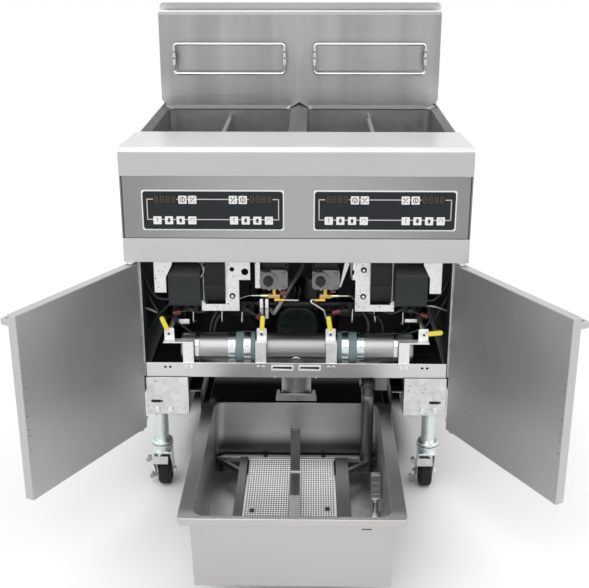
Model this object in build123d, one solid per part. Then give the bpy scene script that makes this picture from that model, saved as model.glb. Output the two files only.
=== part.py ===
from build123d import *
from math import atan2, degrees, hypot
import os

# A gas deep fryer with two split pots and a filter drawer, in millimetres.
# +X is the user's right, +Y runs to the back, +Z is up.
# The origin lies on the floor, at mid width, under the front of the control panel.
# At rest the doors stand open and the filter drawer is pulled out.

# Sheet metal and clearances
sheet = 2.0                 # folded stainless sheet
heavy = 3.0                 # brackets and base channels
slip = 0.3                  # between pieces that move past each other
running = 0.05              # radial, between a shaft and its hole

# Cabinet
cap_width = 794.0
panel_overhang = 1.0        # past the cap at each end
panel_width = cap_width + 2 * panel_overhang
side_x = 389.0              # outer face of the side panels
cabinet_front_y = 18.0      # front edge of sides and posts, clear of the door edges
back_y = 728.0              # outer face of the back panel
base_z = 244.0              # underside of the base channels
panel_lift = 6.0            # the panels end this far above it
rail_z = 343.0              # underside of the front rail
rail_height = 37.0
lower_panel_z = 640.0
seam_z = 698.0
cap_z = 845.0
cap_top_z = 909.0
rim_z = 895.0
cap_front_y = -9.0
cap_rear_y = 243.0
cap_nose_r = 12.0
cap_end_sheet = 2.0
cap_end_z = 878.0           # lower edge of the cap's end plates at the back
cap_end_y = 60.0            # where that edge starts to rise

# Front rail
rail_half = 362.0
rail_y = 14.0
rail_flange = 12.0
rail_lip = 4.0              # the narrow fold along its top
catch_x = 33.0              # centre of each door catch
catch_size = (50.0, 10.0)
rail_hole_x = (304.0, 316.0)
rail_hole_r = 3.0
rail_hole_z = 368.5

# Base channels, legs and casters
channel_x = (262.0, 364.0)
channel_front_y = 11.0
channel_rear_y = 700.0
leg_slot = (28.0, 7.0)
leg_slot_at = (339.0, 278.0)
leg_bolt_x = (308.0, 340.0)
leg_bolt_z = 256.0
stem_x = (-341.5, 332.5)
stem_front_y = 75.0
stem_rear_y = 640.0
stem_r = 17.0
leg_plate_z = 249.0
leg_plate = 10.0
race_r = 27.0
race_z = 134.0              # where the fixed race meets the turning one
race_height = 9.0           # of each of the two
race_chamfer = 2.0
king_pin_r = 6.0
fork_neck_r = 20.0
fork_crown_z = 109.0
fork_plate = 4.0
fork_inner = 19.0           # half of the gap between the fork's cheeks
trail = 29.0                # how far the wheel follows behind the stem
wheel_r = 38.0
wheel_width = 32.0
axle_r = 5.0
hub_r = 11.0
wheel_dish = (5.0, 13.0, 26.0, 28.0)    # depth, and the radii where it starts, ends and meets the tyre
tread_r = 8.0
# The brake lever's outline and pad, and its two round ears, from the axle to the back and up
brake_arm = ((-7.0, -21.0), (7.0, -21.0), (7.0, 8.0), (-42.0, 58.0), (-47.0, 44.0), (-7.0, -4.0))
brake_pad = ((-42.0, 58.0), (-44.0, 60.0), (-52.0, 42.0), (-49.0, 40.0))
brake_ears = ((-46.0, 52.0), (-9.0, -17.0))
brake_ear_r = 6.0
brake_ear_out = 12.0
brake_ear_length = 17.0
brake_ear_web = (4.0, 9.0, 3.0)
brake_hub_r = 12.0
brake_pad_reach = 14.0

# Doors
hinge_x = 383.0
hinge_y = -1.0
door_width = 394.0
door_z = (211.0, 635.0)
door_thick = 22.0
door_edge = 13.0            # from the hinge pin to the hinge side edge
door_sheet = 1.5
door_open = 119.0           # degrees from shut, as it stands at rest
hinge_pin_r = 4.0
hinge_pin_reach = 14.0      # how far a pin enters the door
pull_length = 150.0
pull_reach = 26.0
pull_height = 14.0
pull_below_top = 15.0
pull_bar = 5.0

# Control panel
controller_x = (-188.0, 201.5)    # the pair sits a little to the right of the middle
controller_z = 764.6
controller_size = (323.0, 94.0)
controller_body = (304.0, 76.0, 48.0)
bezel = 3.0
keypad_size = (317.0, 88.0)
keypad = 1.0
controller_corners = (5.0, 6.0, 1.5)    # of the bezel, the keypad and a key
key_size = 18.6
key_rise = 0.5
key_row_z = (741.3, 789.5)
key_x = (47.5, 74.0, 100.5, 126.8)
key_top_x = (46.0, 68.2)

# Frypots (right hand pot, the other is its mirror image)
pot_x = (22.0, 371.0)       # inside faces
pot_y = (262.0, 652.0)
pot_wall = 2.0
pot_corner_r = 20.0
pot_shoulder_z = 883.0
pot_step_z = 755.0
pot_floor_z = 622.0
pot_floor_width = 96.0
pot_floor_rear_y = 560.0
pot_floor_r = 14.0
divider = 6.0
divider_top_z = 868.0
pot_rim_front_y = 237.0      # runs under the rear edge of the cap
pot_rim_rear_y = 657.0
drain_hole_r = 17.0
drain_z = 642.0
joiner_half = 22.0
joiner_peak = 12.0          # at the flue
joiner_front_peak = 1.0     # under the rear edge of the cap

# Flue and basket hangers
flue_front_y = 655.0
flue_over = 1.0             # the flue stands out past the cabinet's sides
flue_half = side_x + flue_over
flue_front_top_z = 1143.0
flue_back_top_z = 1170.0
flue_corner = 14.0
flue_lip = 9.0              # the strip along the front sheet's top, sloping to the back
flue_back_over = 6.0        # the back sheet stands out past the flue
flue_back_cut = 8.0         # its cut top corners
flue_back_z = 870.0         # it laps over the back panel
hanger_x = 194.0
hanger_half = 152.5
hanger_z = (985.5, 1066.0)
hanger_y = 627.0
hanger_wire_r = 3.6
hanger_corner_r = 9.0
clip_size = (11.0, 33.0)

# Blowers, burners and gas train
scroll_x = (171.0, 217.5)
blower_shift = 7.0          # the right blower stands this much further out
scroll_centre = (122.0, 602.0)
scroll_r = 78.0
scroll_bulge = (92.0, 552.0, 40.0)      # centre and radius of the housing's lower bulge
scroll_duct_z = (646.0, 680.0)
motor_x = (229.0, 305.0)
motor_y = (45.0, 150.0)
motor_z = (512.0, 590.0, 640.0)
motor_slope_y = 75.0
plate_y = 60.0
plate_x = (110.0, 228.0)
plate_z = 497.0
plate_top_z = 690.0
scroll_gap = 1.0
shield_y = 41.0
burner_front_y = 200.0
burner_z = (668.0, 738.0)
burner_inner_x = 2.0
gas_valve_x = (-87.0, -21.0) # the left valve
gas_valve_shift = 125.0     # the right one is the same, this far to its right
gas_valve_y = (70.0, 130.0)
gas_valve_z = (549.0, 634.0)
gas_valve_step = (598.0, 14.0, 5.0)     # the upper part starts here, set back and narrower by these
knob_at = (-67.0, 572.2)    # on the left valve
knob_r = 12.0
knob_length = 14.0
knob_dial = 6.3             # thickness of its round part
knob_grip = (23.0, 8.4)
knob_stem_r = 4.0
gas_pipe_r = 13.35
gas_pipe_z = 648.0
gas_pipe_y = 105.0
gas_run_r = 12.5
gas_inlet = (732.0, 772.0)  # the threaded end behind the back panel
pilot_z = 526.5
pilot_y = 88.0
pilot_tube_r = 2.8
pilot_bend_r = 4.0
pilot_x = (-40.0, 56.0)                 # inner ends of the left and right brass fittings
pilot_body = (28.0, 8.0)                # length and radius of the fitting
pilot_neck = (18.0, 4.5)                # and of the neck at its outer end
pilot_elbow = (14.0, 12.0, 4.5, 11.0)   # its reach out and in from the inner end, radius and drop
pilot_inlet_r = 6.0
pilot_out = (24.0, 32.0)                # the left and right outer tubes run straight this far
pilot_out_end = (6.0, 40.0, 15.0)       # and then turn outwards, back and up
pilot_left_run = (33.0, -1.0)           # the left inner tube, to the right and up
pilot_left_tail = (46.0, 12.0)          # back and up
pilot_right_run = (-27.0, 7.0)          # the right inner tube, to the left and up
pilot_right_turn = (50.0, -10.0, -30.0) # then across to the right, forward and down
pilot_right_tail = (6.0, -22.0)

# Drain and return lines
pipe_r = 36.5
pipe_y = 66.0
pipe_z = 399.0
pipe_end_x = (281.0, 285.0)
pipe_joint_x = 123.0
coupling_half = 23.0
coupling_wall = 3.0
band_wall = 1.0
band_on_coupling = ((110.0, 127.0),)
band_on_pipe = ((147.0, 165.0), (235.0, 245.0))
band_screw = (14.0, 9.0, 9.0)
band_screw_turn = 55.0
spout_bottom_z = 272.0
guard_size = (50.0, 34.0, 74.0)
guard_z = (270.5, 281.0, 289.0, 300.0)   # underside, tops of the ends, front edge and ears
guard_ear_x = (38.0, 41.0, 45.0)
drain_x = (83.0, 306.0)
drain_line_y = 178.0
drain_line_r = 19.0
drain_bend_r = 32.0
drain_entry_set = 24.0      # the outer lines enter the pipe this far from its end
drain_entry_z = 404.0
drain_valve_r = 25.0
handle_z = 450.0
shaft_r = 5.0
bonnet_front_y = 142.0
strap_y = 16.0
strap_width = 26.0
strap_x = (85.0, 259.5)
strap_bottom_z = 348.0
shelf_z = 433.0
tab_y = 35.0
tab_top_z = 462.0
tab_width = 24.0
tab_corner_r = 4.0
handle_length = 46.0
handle_width = 11.0
handle_depth = 8.0
handle_bar = (6.0, 4.0)     # width and depth of the steel bar in the grip
handle_hub_r = 7.0
handle_grip_start = 9.0
handle_angles = (-22.0, 4.0, -8.0, 83.0)
return_y = 112.0
return_z = 497.0
return_r = 11.0
return_pivots = (-255.0, -119.0, 120.0, 274.0)
return_reach = ((-46.0, -11.0), (39.0, -28.0), (-34.0, -8.0), (46.0, -17.0))
return_grip_r = 7.0
return_grip_length = 22.0
return_grip_round = 3.0
return_rod_r = 2.5
return_stem_r = 4.0
return_collar = (5.0, 10.0) # radius and length
return_lever_y = 70.0
return_end = 30.0
return_body = (30.0, 36.0, 27.0)
return_body_set = 6.0       # the valve bodies stand this far in front of the pipe
return_bore = 40.0
riser_y = 235.0
riser_r = 9.0
riser_bend_r = 20.0
pump_y = (185.0, 400.0)
pump_z = 409.0
pump_r = 60.0
pump_shelf_y = (150.0, 420.0)
pump_shelf = 3.0
pump_nose_r = 14.0
pump_foot = 40.0
pump_foot_set = 30.0
pump_slots = 8
pump_slot = (20.0, 5.0, 6.0)
pump_slot_at = 32.0

# Filter drawer
pan_rim_half = 229.0
pan_rim_y = (-493.0, 31.5)
pan_rim_z = 267.0
pan_lip = 15.0
pan_half = 200.0            # inside, under the rim
pan_floor_half = 199.0
pan_inner_y = (-481.5, 27.0)
pan_floor_y = (-455.0, 8.0)
pan_floor_z = 87.0
pan_wall = 2.0
pan_corner_r = 26.0
ledge_top_z = pan_rim_z - pan_lip - slip
ledge_x = (217.0, 231.0)
hanger_top_z = 309.0
frame_z = (124.0, 136.0)
frame_left_x = (-137.0, -118.0)
frame_right_x = (97.0, 128.0)
frame_rear_half = 197.0
frame_rear_y = 5.0
frame_wing = 14.0
frame_wing_bar = 9.0        # width of the wings' slanted bars
frame_wing_cut = 20.0       # the wings' rear corners are cut to clear the pan's corners
frame_bar = 13.0
frame_diag_y = -69.0
frame_front_y = -446.0
frame_hole_x = (-75.0, 68.0)
frame_hole_r = 5.0
screen_sheet = 1.5
screen_z = (128.0, 133.0)   # flat part, and the raised rear edge
screen_gap = 1.0
screen_holes = (10, 17)
screen_hole = 8.0
screen_margin = 8.0
screen_post_r = 4.0
hold_strap_half = 11.5
hold_bend_y = -80.0
hold_top_z = 258.0
hold_slot = (16.0, 3.0)
hold_step = 4.5             # the strap's front part stands higher
hold_step_y = -192.0
hold_ramp = 6.0
suction_at = (173.0, -14.0)
suction_r = 15.0
suction_top_z = 319.0
suction_end_y = 46.0
suction_bend_r = 24.0
connector_length = 34.0
pickup_at = (186.0, -190.0)
pickup_base = (157.0, 197.0, -215.0, -165.0)
pickup_flange = (11.0, 8.0) # radius and height
pickup_neck_r = 6.0
pickup_flare = 12.0
pickup_head = (24.0, 16.0)
pickup_head_z = (137.0, 197.0)
pickup_slot = (4.0, 12.0)
pickup_slots = 3

# Shared helpers


def block(x0, x1, y0, y1, z0, z1):
    centre = Pos((x0 + x1) / 2, (y0 + y1) / 2, (z0 + z1) / 2)
    return centre * Box(abs(x1 - x0), abs(y1 - y0), abs(z1 - z0))


def rod(start, end, radius):
    along = Vector(*end) - Vector(*start)
    return extrude(Plane(origin=start, z_dir=along) * Circle(radius), along.length)


def outline(points):
    return make_face(Polyline(*points, close=True))


def prism_x(points, x0, x1):
    return extrude(Plane.YZ.offset(x0) * outline(points), x1 - x0)


def prism_y(points, y0, y1):
    return extrude(Plane.XZ.offset(-y0) * outline(points), y0 - y1)


def prism_z(points, z0, z1):
    return extrude(Plane.XY.offset(z0) * outline(points), z1 - z0)


def folded(points, thick):
    # The outline of a sheet folded along the points, with its other face to their left.
    inner = []
    for index, (a, b) in enumerate(points):
        normals = []
        for start, end in ((index - 1, index), (index, index + 1)):
            if start >= 0 and end < len(points):
                run = (points[end][0] - points[start][0], points[end][1] - points[start][1])
                size = hypot(*run)
                normals.append((-run[1] / size, run[0] / size))
        if len(normals) == 1:
            shift = normals[0]
        else:
            share = 1 + normals[0][0] * normals[1][0] + normals[0][1] * normals[1][1]
            shift = tuple((normals[0][k] + normals[1][k]) / share for k in (0, 1))
        inner.append((a + shift[0] * thick, b + shift[1] * thick))
    return list(points) + inner[::-1]


def both_sides(shape):
    return [shape, mirror(shape, about=Plane.YZ)]


def save(name, *shapes):
    solids = [solid for shape in shapes for solid in shape.solids()]
    export_step(Compound(solids), f"parts/{name}.step")


os.makedirs("parts", exist_ok=True)
side_inner_x = side_x - sheet
rail_top_z = rail_z + rail_height

# Welded frame: base channels, front posts and the shelf that carries the pump


def base_channel():
    outer = block(*channel_x, channel_front_y, channel_rear_y, base_z, rail_z)
    inside = block(channel_x[0] + heavy, channel_x[1] - heavy, channel_front_y + heavy,
                   channel_rear_y - heavy, base_z, rail_z - heavy)
    channel = fillet((outer - inside).edges().filter_by(Axis.Y).sort_by(Axis.X)[0:1], heavy / 2)
    slot = Pos(leg_slot_at[0], channel_front_y, leg_slot_at[1]) * Rot(90, 0, 0) * extrude(
        SlotOverall(*leg_slot), heavy * 2, both=True)
    channel -= slot
    for x in leg_bolt_x:
        channel -= rod((x, channel_front_y - heavy, leg_bolt_z),
                       (x, channel_front_y + heavy * 2, leg_bolt_z), bolt_r)
    return channel


def front_post():
    line = [(channel_x[1], cabinet_front_y + post_depth), (channel_x[1], cabinet_front_y),
            (side_inner_x, cabinet_front_y)]
    return prism_z(folded(line, sheet), rail_z, seam_z)


bolt_r = 5.0
post_depth = 42.0
shelf = block(-channel_x[1], channel_x[1], *pump_shelf_y, rail_z, rail_z + pump_shelf)
save("cabinet_frame", *both_sides(base_channel()), *both_sides(front_post()), shelf)

# Side and back panels
panel_z = (base_z + panel_lift, rim_z - sheet)
side_panel = block(side_inner_x, side_x, cabinet_front_y, back_y, *panel_z)
back_panel = block(-side_inner_x, side_inner_x, back_y - sheet, back_y, *panel_z)
gas_hole_gap = 4.0
vent = (90.0, 8.0)
vent_rows = 5
vent_pitch = 26.0
vent_x = (-260.0, -130.0, 130.0, 260.0)
vent_z = 420.0
back_panel -= rod((0, back_y - heavy * 2, gas_pipe_z), (0, back_y + heavy, gas_pipe_z),
                  gas_pipe_r + gas_hole_gap)
for x in vent_x:
    for row in range(vent_rows):
        slot = Rot(90, 0, 0) * extrude(SlotOverall(*vent), heavy * 2, both=True)
        back_panel -= Pos(x, back_y, vent_z + row * vent_pitch) * slot
save("cabinet_panels", *both_sides(side_panel), back_panel)

# Gland where the power cord enters
gland_at = (200.0, 320.0)
gland_nut = (15.0, 8.0)
gland_sleeve = (10.0, 22.0)
gland_bore_r = 6.0
gland_web = 2.0
gland = extrude(RegularPolygon(gland_nut[0], 6), -gland_nut[1])
gland += extrude(Circle(gland_sleeve[0]), -gland_sleeve[1])
gland -= Pos(0, 0, -gland_web) * extrude(Circle(gland_bore_r), -gland_sleeve[1])
save("cord_gland", Pos(gland_at[0], back_y, gland_at[1]) * Rot(90, 0, 0) * gland)

# Front rail: a folded channel with holes, catch openings and a stop tab for the drawer
stop_tab = (192.0, 222.0, 305.0)
rail_line = [(rail_y + rail_lip, rail_top_z), (rail_y, rail_top_z), (rail_y, rail_z),
             (rail_y + rail_flange, rail_z)]
rail = prism_x(folded(rail_line, sheet), -rail_half, rail_half)
rail += block(stop_tab[0], stop_tab[1], rail_y + rail_flange - sheet, rail_y + rail_flange,
              stop_tab[2], rail_z + sheet)
rail_screw_half = 6.0
rail_screw_x = [x + side for x in strap_x for side in (-rail_screw_half, rail_screw_half)]
rail_screw_r = 3.0
rail_holes = [(x, rail_hole_r) for x in rail_hole_x] + [(x, rail_screw_r) for x in rail_screw_x]
for sign in (-1, 1):
    for x, radius in rail_holes:
        rail -= rod((sign * x, rail_y - 1, rail_hole_z), (sign * x, rail_y + heavy, rail_hole_z), radius)
    rail -= Pos(sign * catch_x, rail_y, rail_hole_z) * Box(catch_size[0], 2 * heavy, catch_size[1])
    for x in strap_x:
        half = strap_width / 2 + slip
        rail -= block(sign * x - half, sign * x + half, rail_y + sheet, rail_y + rail_flange + 1,
                      rail_top_z - sheet - 1, rail_top_z + 1)
save("front_rail", rail)

# Rail screws, leg bolts and the two magnetic catches
screw_head = (5.0, 2.0)
bolt_head = (7.5, 5.0)
catch_rim = 2.0
catch_depth = 14.0
catch_face = 1.5
catch_sunk = 4.5            # the magnet lies this far behind the face
catch_width, catch_height = catch_size
door_catch = extrude(RectangleRounded(catch_width + 2 * catch_rim, catch_height + 2 * catch_rim, catch_rim),
                     catch_face)
door_catch += extrude(Rectangle(catch_width - slip, catch_height - slip), -catch_depth)
door_catch -= Pos(0, 0, catch_face) * extrude(
    Rectangle(catch_width - 2 * catch_rim, catch_height - 2 * catch_rim), -catch_sunk)
hardware = []
for sign in (-1, 1):
    for x in rail_screw_x:
        hardware.append(rod((sign * x, rail_y - screw_head[1], rail_hole_z),
                            (sign * x, rail_y, rail_hole_z), screw_head[0]))
    for x in leg_bolt_x:
        head = Pos(sign * x, channel_front_y, leg_bolt_z) * Rot(90, 0, 0) * extrude(
            RegularPolygon(bolt_head[0], 6), bolt_head[1])
        hardware.append(head)
    hardware.append(Pos(sign * catch_x, rail_y, rail_hole_z) * Rot(90, 0, 0) * door_catch)
save("rail_hardware", *hardware)

# Control panel, lower panel and front cap
panel_half = panel_width / 2


def front_sheet(z0, z1, bottom_flange):
    shape = block(-panel_half, panel_half, 0, sheet, z0, z1)
    for sign in (-1, 1):
        edge = sign * panel_half
        shape += block(edge, sign * (panel_half - sheet), 0, cabinet_front_y, z0, z1)
        shape += block(edge, sign * side_inner_x, cabinet_front_y - sheet, cabinet_front_y, z0, z1)
    if bottom_flange:
        shape += block(-panel_half, panel_half, 0, cabinet_front_y, z0, z0 + sheet)
    return shape


control_panel = front_sheet(seam_z, cap_z, False)
for x in controller_x:
    control_panel -= Pos(x, 0, controller_z) * Box(controller_body[0] + 2 * slip, 3 * sheet,
                                                   controller_body[1] + 2 * slip)
save("control_panel", control_panel)
seam_gap = 0.8
save("lower_panel", front_sheet(lower_panel_z, seam_z - seam_gap, True))

cap_half = cap_width / 2
cap_flange = 10.0
cap_line = [(cap_front_y + cap_flange, cap_z), (cap_front_y, cap_z), (cap_front_y, cap_top_z),
            (cap_rear_y, rim_z + sheet)]
cap_profile = outline(folded(cap_line, -sheet))
nose = cap_profile.vertices().sort_by_distance((cap_front_y, cap_top_z))
cap_profile = fillet(nose[0], cap_nose_r)
nose = cap_profile.vertices().sort_by_distance((cap_front_y + sheet, cap_top_z - sheet))
cap_profile = fillet(nose[0], cap_nose_r - sheet)
cap = extrude(Plane.YZ.offset(-cap_half) * cap_profile, cap_width)
cap_end = prism_x([(cap_front_y + sheet, cap_z + sheet), (cap_front_y + sheet, cap_top_z - cap_nose_r),
                   (cap_front_y + cap_nose_r, cap_top_z - sheet - 1),
                   (cap_rear_y, rim_z + sheet / 2), (cap_rear_y, cap_end_z), (cap_end_y, cap_z + sheet)],
                  cap_half - cap_end_sheet, cap_half)
cap = cap + cap_end + mirror(cap_end, about=Plane.YZ)
save("front_cap", cap)

# Controllers: a housing behind the panel with its bezel, and a keypad over the bezel


def controller(x):
    at = Pos(x, 0, controller_z) * Rot(90, 0, 0)
    face = extrude(RectangleRounded(*controller_size, controller_corners[0]), bezel)
    housing = extrude(Rectangle(*controller_body[:2]), -controller_body[2])
    return at * (face + housing)


def keypad_for(x):
    at = Pos(x, -bezel, controller_z) * Rot(90, 0, 0)
    pad = extrude(RectangleRounded(*keypad_size, controller_corners[1]), keypad)
    key = extrude(RectangleRounded(key_size, key_size, controller_corners[2]), keypad + key_rise)
    for sign in (-1, 1):
        for offset in key_x:
            pad += Pos(sign * offset, key_row_z[0] - controller_z, 0) * key
        for offset in key_top_x:
            pad += Pos(sign * offset, key_row_z[1] - controller_z, 0) * key
    return at * pad


save("controllers", *[controller(x) for x in controller_x], *[keypad_for(x) for x in controller_x])

# Frypots


def pot_rectangle(x, y, z, grow, corner):
    width = x[1] - x[0] + 2 * grow
    depth = y[1] - y[0] + 2 * grow
    return Pos((x[0] + x[1]) / 2, (y[0] + y[1]) / 2, z) * RectangleRounded(width, depth, corner + grow)


vat_middle = (pot_x[0] + pot_x[1]) / 2
vats = ((pot_x[0], vat_middle - divider / 2), (vat_middle + divider / 2, pot_x[1]))
rim_corner_r = 6.0


def pot_form(grow):
    upper = extrude(pot_rectangle(pot_x, pot_y, pot_step_z - grow, grow, pot_corner_r),
                    pot_shoulder_z - pot_step_z + grow)
    rim_x = (pot_x[0], side_x - grow_rim(grow))
    rim_y = (pot_rim_front_y + grow_rim(grow), pot_rim_rear_y - grow_rim(grow))
    funnel = loft([pot_rectangle(pot_x, pot_y, pot_shoulder_z, grow, pot_corner_r),
                   pot_rectangle(rim_x, rim_y, rim_z, grow, rim_corner_r)])
    form = upper + funnel
    for vat in vats:
        middle = (vat[0] + vat[1]) / 2
        floor_x = (middle - pot_floor_width / 2, middle + pot_floor_width / 2)
        floor_y = (pot_y[0], pot_floor_rear_y)
        form += loft([pot_rectangle(floor_x, floor_y, pot_floor_z - grow, grow, pot_floor_r),
                      pot_rectangle(vat, pot_y, pot_step_z, grow, pot_floor_r)])
    return form


def grow_rim(grow):
    return pot_wall + 1 if grow == 0 else grow


def frypot():
    pot = pot_form(pot_wall) - pot_form(0)
    plate = block(vat_middle - divider / 2, vat_middle + divider / 2, *pot_y, pot_step_z, divider_top_z)
    plate = fillet(plate.edges().filter_by(Axis.Y).group_by(Axis.Z)[-1], divider / 2 - 0.1)
    pot += plate
    for x in drain_x:
        pot -= rod((x, pot_y[0] - pot_wall - 1, drain_z), (x, pot_y[0] + 1, drain_z), drain_hole_r)
    return pot


right_pot = frypot()
save("frypot_right", right_pot)
save("frypot_left", mirror(right_pot, about=Plane.YZ))

# The roof shaped strip over the joint between the pots, rising to the back


def joiner_section(y, peak):
    line = [(-joiner_half, rim_z), (0, rim_z + peak), (joiner_half, rim_z)]
    return Plane.XZ.offset(-y) * outline(folded(line, sheet))


save("pot_joiner", loft([joiner_section(cap_rear_y + slip, joiner_front_peak),
                         joiner_section(flue_front_y - slip, joiner_peak)]))

# Flue
flue_notch = joiner_half + 2
front_outline = [(-flue_half, rim_z + flue_corner), (-flue_half, flue_front_top_z),
                 (flue_half, flue_front_top_z), (flue_half, rim_z + flue_corner),
                 (flue_half - flue_corner, rim_z), (flue_notch, rim_z),
                 (0, rim_z + joiner_peak + sheet), (-flue_notch, rim_z), (-flue_half + flue_corner, rim_z)]
flue = prism_y(front_outline, flue_front_y, flue_front_y + sheet)
lip_line = [(flue_front_y, flue_front_top_z - flue_lip), (flue_front_y, flue_front_top_z),
            (flue_front_y + flue_lip, flue_front_top_z + flue_lip)]
flue += prism_x(folded(lip_line, -sheet), -flue_half, flue_half)
for sign in (-1, 1):
    flue += block(sign * flue_half, sign * (flue_half - sheet), flue_front_y, back_y,
                  rim_z + flue_corner, flue_front_top_z)
save("flue_front", flue)
back_half = flue_half + flue_back_over
back_outline = [(-back_half, flue_back_z), (-back_half, flue_back_top_z - flue_back_cut),
                (-back_half + flue_back_cut, flue_back_top_z), (back_half - flue_back_cut, flue_back_top_z),
                (back_half, flue_back_top_z - flue_back_cut), (back_half, flue_back_z)]
save("flue_back", prism_y(back_outline, back_y, back_y + sheet))

# Basket hangers: closed wire frames held by clips on the flue


def swept(path, radius):
    return sweep(Plane(origin=path @ 0, z_dir=path % 0) * Circle(radius), path=path)


def hanger(x):
    height = hanger_z[1] - hanger_z[0]
    frame = Pos(x, hanger_y, (hanger_z[0] + hanger_z[1]) / 2) * Rot(90, 0, 0) * RectangleRounded(
        2 * hanger_half, height, hanger_corner_r)
    return swept(frame.wires()[0], hanger_wire_r)


def clip(x):
    middle = (hanger_z[0] + hanger_z[1]) / 2
    shape = Pos(x, flue_front_y, middle) * Rot(90, 0, 0) * extrude(
        SlotOverall(clip_size[1], clip_size[0], rotation=90), flue_front_y - hanger_y + hanger_wire_r + sheet)
    groove = rod((x, hanger_y, hanger_z[0]), (x, hanger_y, hanger_z[1]), hanger_wire_r + running)
    return shape - groove


hangers = [hanger(sign * hanger_x) for sign in (-1, 1)]
clips = [clip(sign * hanger_x + side * hanger_half) for sign in (-1, 1) for side in (-1, 1)]
save("basket_hangers", *hangers, *clips)

# Blowers: scroll housings, motor covers and galvanised brackets


def scroll():
    y, z = scroll_centre
    body = rod((scroll_x[0], y, z), (scroll_x[1], y, z), scroll_r)
    low_y, low_z, low_r = scroll_bulge
    body += rod((scroll_x[0], low_y, low_z), (scroll_x[1], low_y, low_z), low_r)
    return body + block(*scroll_x, y, burner_front_y, *scroll_duct_z)


def motor_cover():
    profile = [(motor_y[0], motor_z[0]), (motor_y[1], motor_z[0]), (motor_y[1], motor_z[2]),
               (motor_slope_y, motor_z[2]), (motor_y[0], motor_z[1])]
    cover = prism_x(profile, *motor_x)
    cover = fillet(cover.edges().filter_by(Axis.X).group_by(Axis.Z)[0], motor_corner_r)
    boss_y = (motor_y[0] + motor_y[1]) / 2
    boss_z = scroll_centre[1]
    return cover + rod((scroll_x[1], boss_y, boss_z), (motor_x[0], boss_y, boss_z), motor_boss_r)


def left_and_right(shape):
    return [mirror(shape, about=Plane.YZ), Pos(blower_shift, 0, 0) * shape]


def blower_plate(cuts):
    plate = block(*plate_x, plate_y, plate_y + sheet, plate_z, plate_top_z)
    plate += block(*plate_x, sheet, plate_y + sheet, plate_top_z - sheet, plate_top_z)
    plate -= block(scroll_x[0] - scroll_gap, scroll_x[1] + scroll_gap, plate_y - 1, burner_front_y,
                   plate_z + plate_strip, plate_top_z - sheet)
    for x, z, radius in plate_holes:
        plate -= rod((x, plate_y - 1, z), (x, plate_y + sheet + 1, z), radius)
    for x, z0, z1 in cuts:
        plate -= block(plate_x[0] - 1, x, plate_y - 1, plate_y + sheet + 1, z0, z1)
    return plate


def motor_shield():
    low, step, shoulder = shield_z
    profile = [(shield_x[0], low), (shield_x[1], low), (shield_x[1], plate_top_z),
               (shield_x[2], plate_top_z), (shield_x[2], shoulder), (shield_x[0], step)]
    shield = prism_y(profile, shield_y, shield_y + sheet)
    shield += block(shield_x[2], shield_x[1], sheet, shield_y, plate_top_z - sheet, plate_top_z)
    shield += block(shield_x[1] - sheet, shield_x[1], shield_y, shield_y + shield_return, low, plate_top_z)
    return shield


def valve_post():
    x = -gas_valve_x[0]
    line = [(x, gas_valve_y[1]), (x, gas_valve_y[0]), (x + post_width, gas_valve_y[0])]
    post = prism_z(folded(line, sheet), valve_post_z, plate_top_z)
    post += block(x, x + post_width, sheet, gas_valve_y[0] + sheet, plate_top_z - sheet, plate_top_z)
    return mirror(post, about=Plane.YZ)


def valve_stay():
    x = gas_valve_x[1] + gas_valve_shift
    out, width = stay_top
    top = (x + out, x + out + width)
    y = gas_valve_y[0] + stay_set
    stay = prism_y([(x, valve_post_z), (x + heavy, valve_post_z), (top[1], plate_top_z), (top[0], plate_top_z)],
                   y, y + sheet)
    return stay + block(*top, sheet, y + sheet, plate_top_z - sheet, plate_top_z)


motor_corner_r = 10.0
motor_boss_r = 20.0
plate_strip = 17.0
plate_holes = ((153.4, 602.6, 5.5), (122.7, 596.4, 8.4), (153.3, 535.4, 4.0))
shield_x = (309.0, 337.0, 293.0)
shield_z = (550.0, 588.0, 621.0)
shield_return = 25.0
post_width = 12.0
stay_top = (26.0, 25.0)     # the right valve's stay leans out this far and widens to this
stay_set = 10.0
valve_post_z = 552.0
left_plate_cuts = [(137.0, plate_z - 1, 576.0)]
right_plate_cuts = [(134.0, plate_z - 1, 577.0), (127.0, 577.0, plate_top_z - sheet)]
save("blower_housings", *left_and_right(scroll()))
save("blower_motors", *left_and_right(motor_cover()))
plates = [mirror(blower_plate(left_plate_cuts), about=Plane.YZ),
          Pos(blower_shift, 0, 0) * blower_plate(right_plate_cuts)]
save("blower_brackets", *plates, *left_and_right(motor_shield()), valve_post(), valve_stay())

# Burners: a plenum in front of each pot with an arm along each of its sides


def burner():
    plenum = block(burner_inner_x, side_inner_x, burner_front_y, pot_y[0] - pot_wall - slip, *burner_z)
    centre_arm = block(burner_inner_x, pot_x[0] - pot_wall, burner_front_y, pot_y[1], *burner_z)
    side_arm = block(pot_x[1] + pot_wall, side_inner_x, burner_front_y, pot_y[1], *burner_z)
    return plenum + centre_arm + side_arm


save("burners", *both_sides(burner()))

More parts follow.
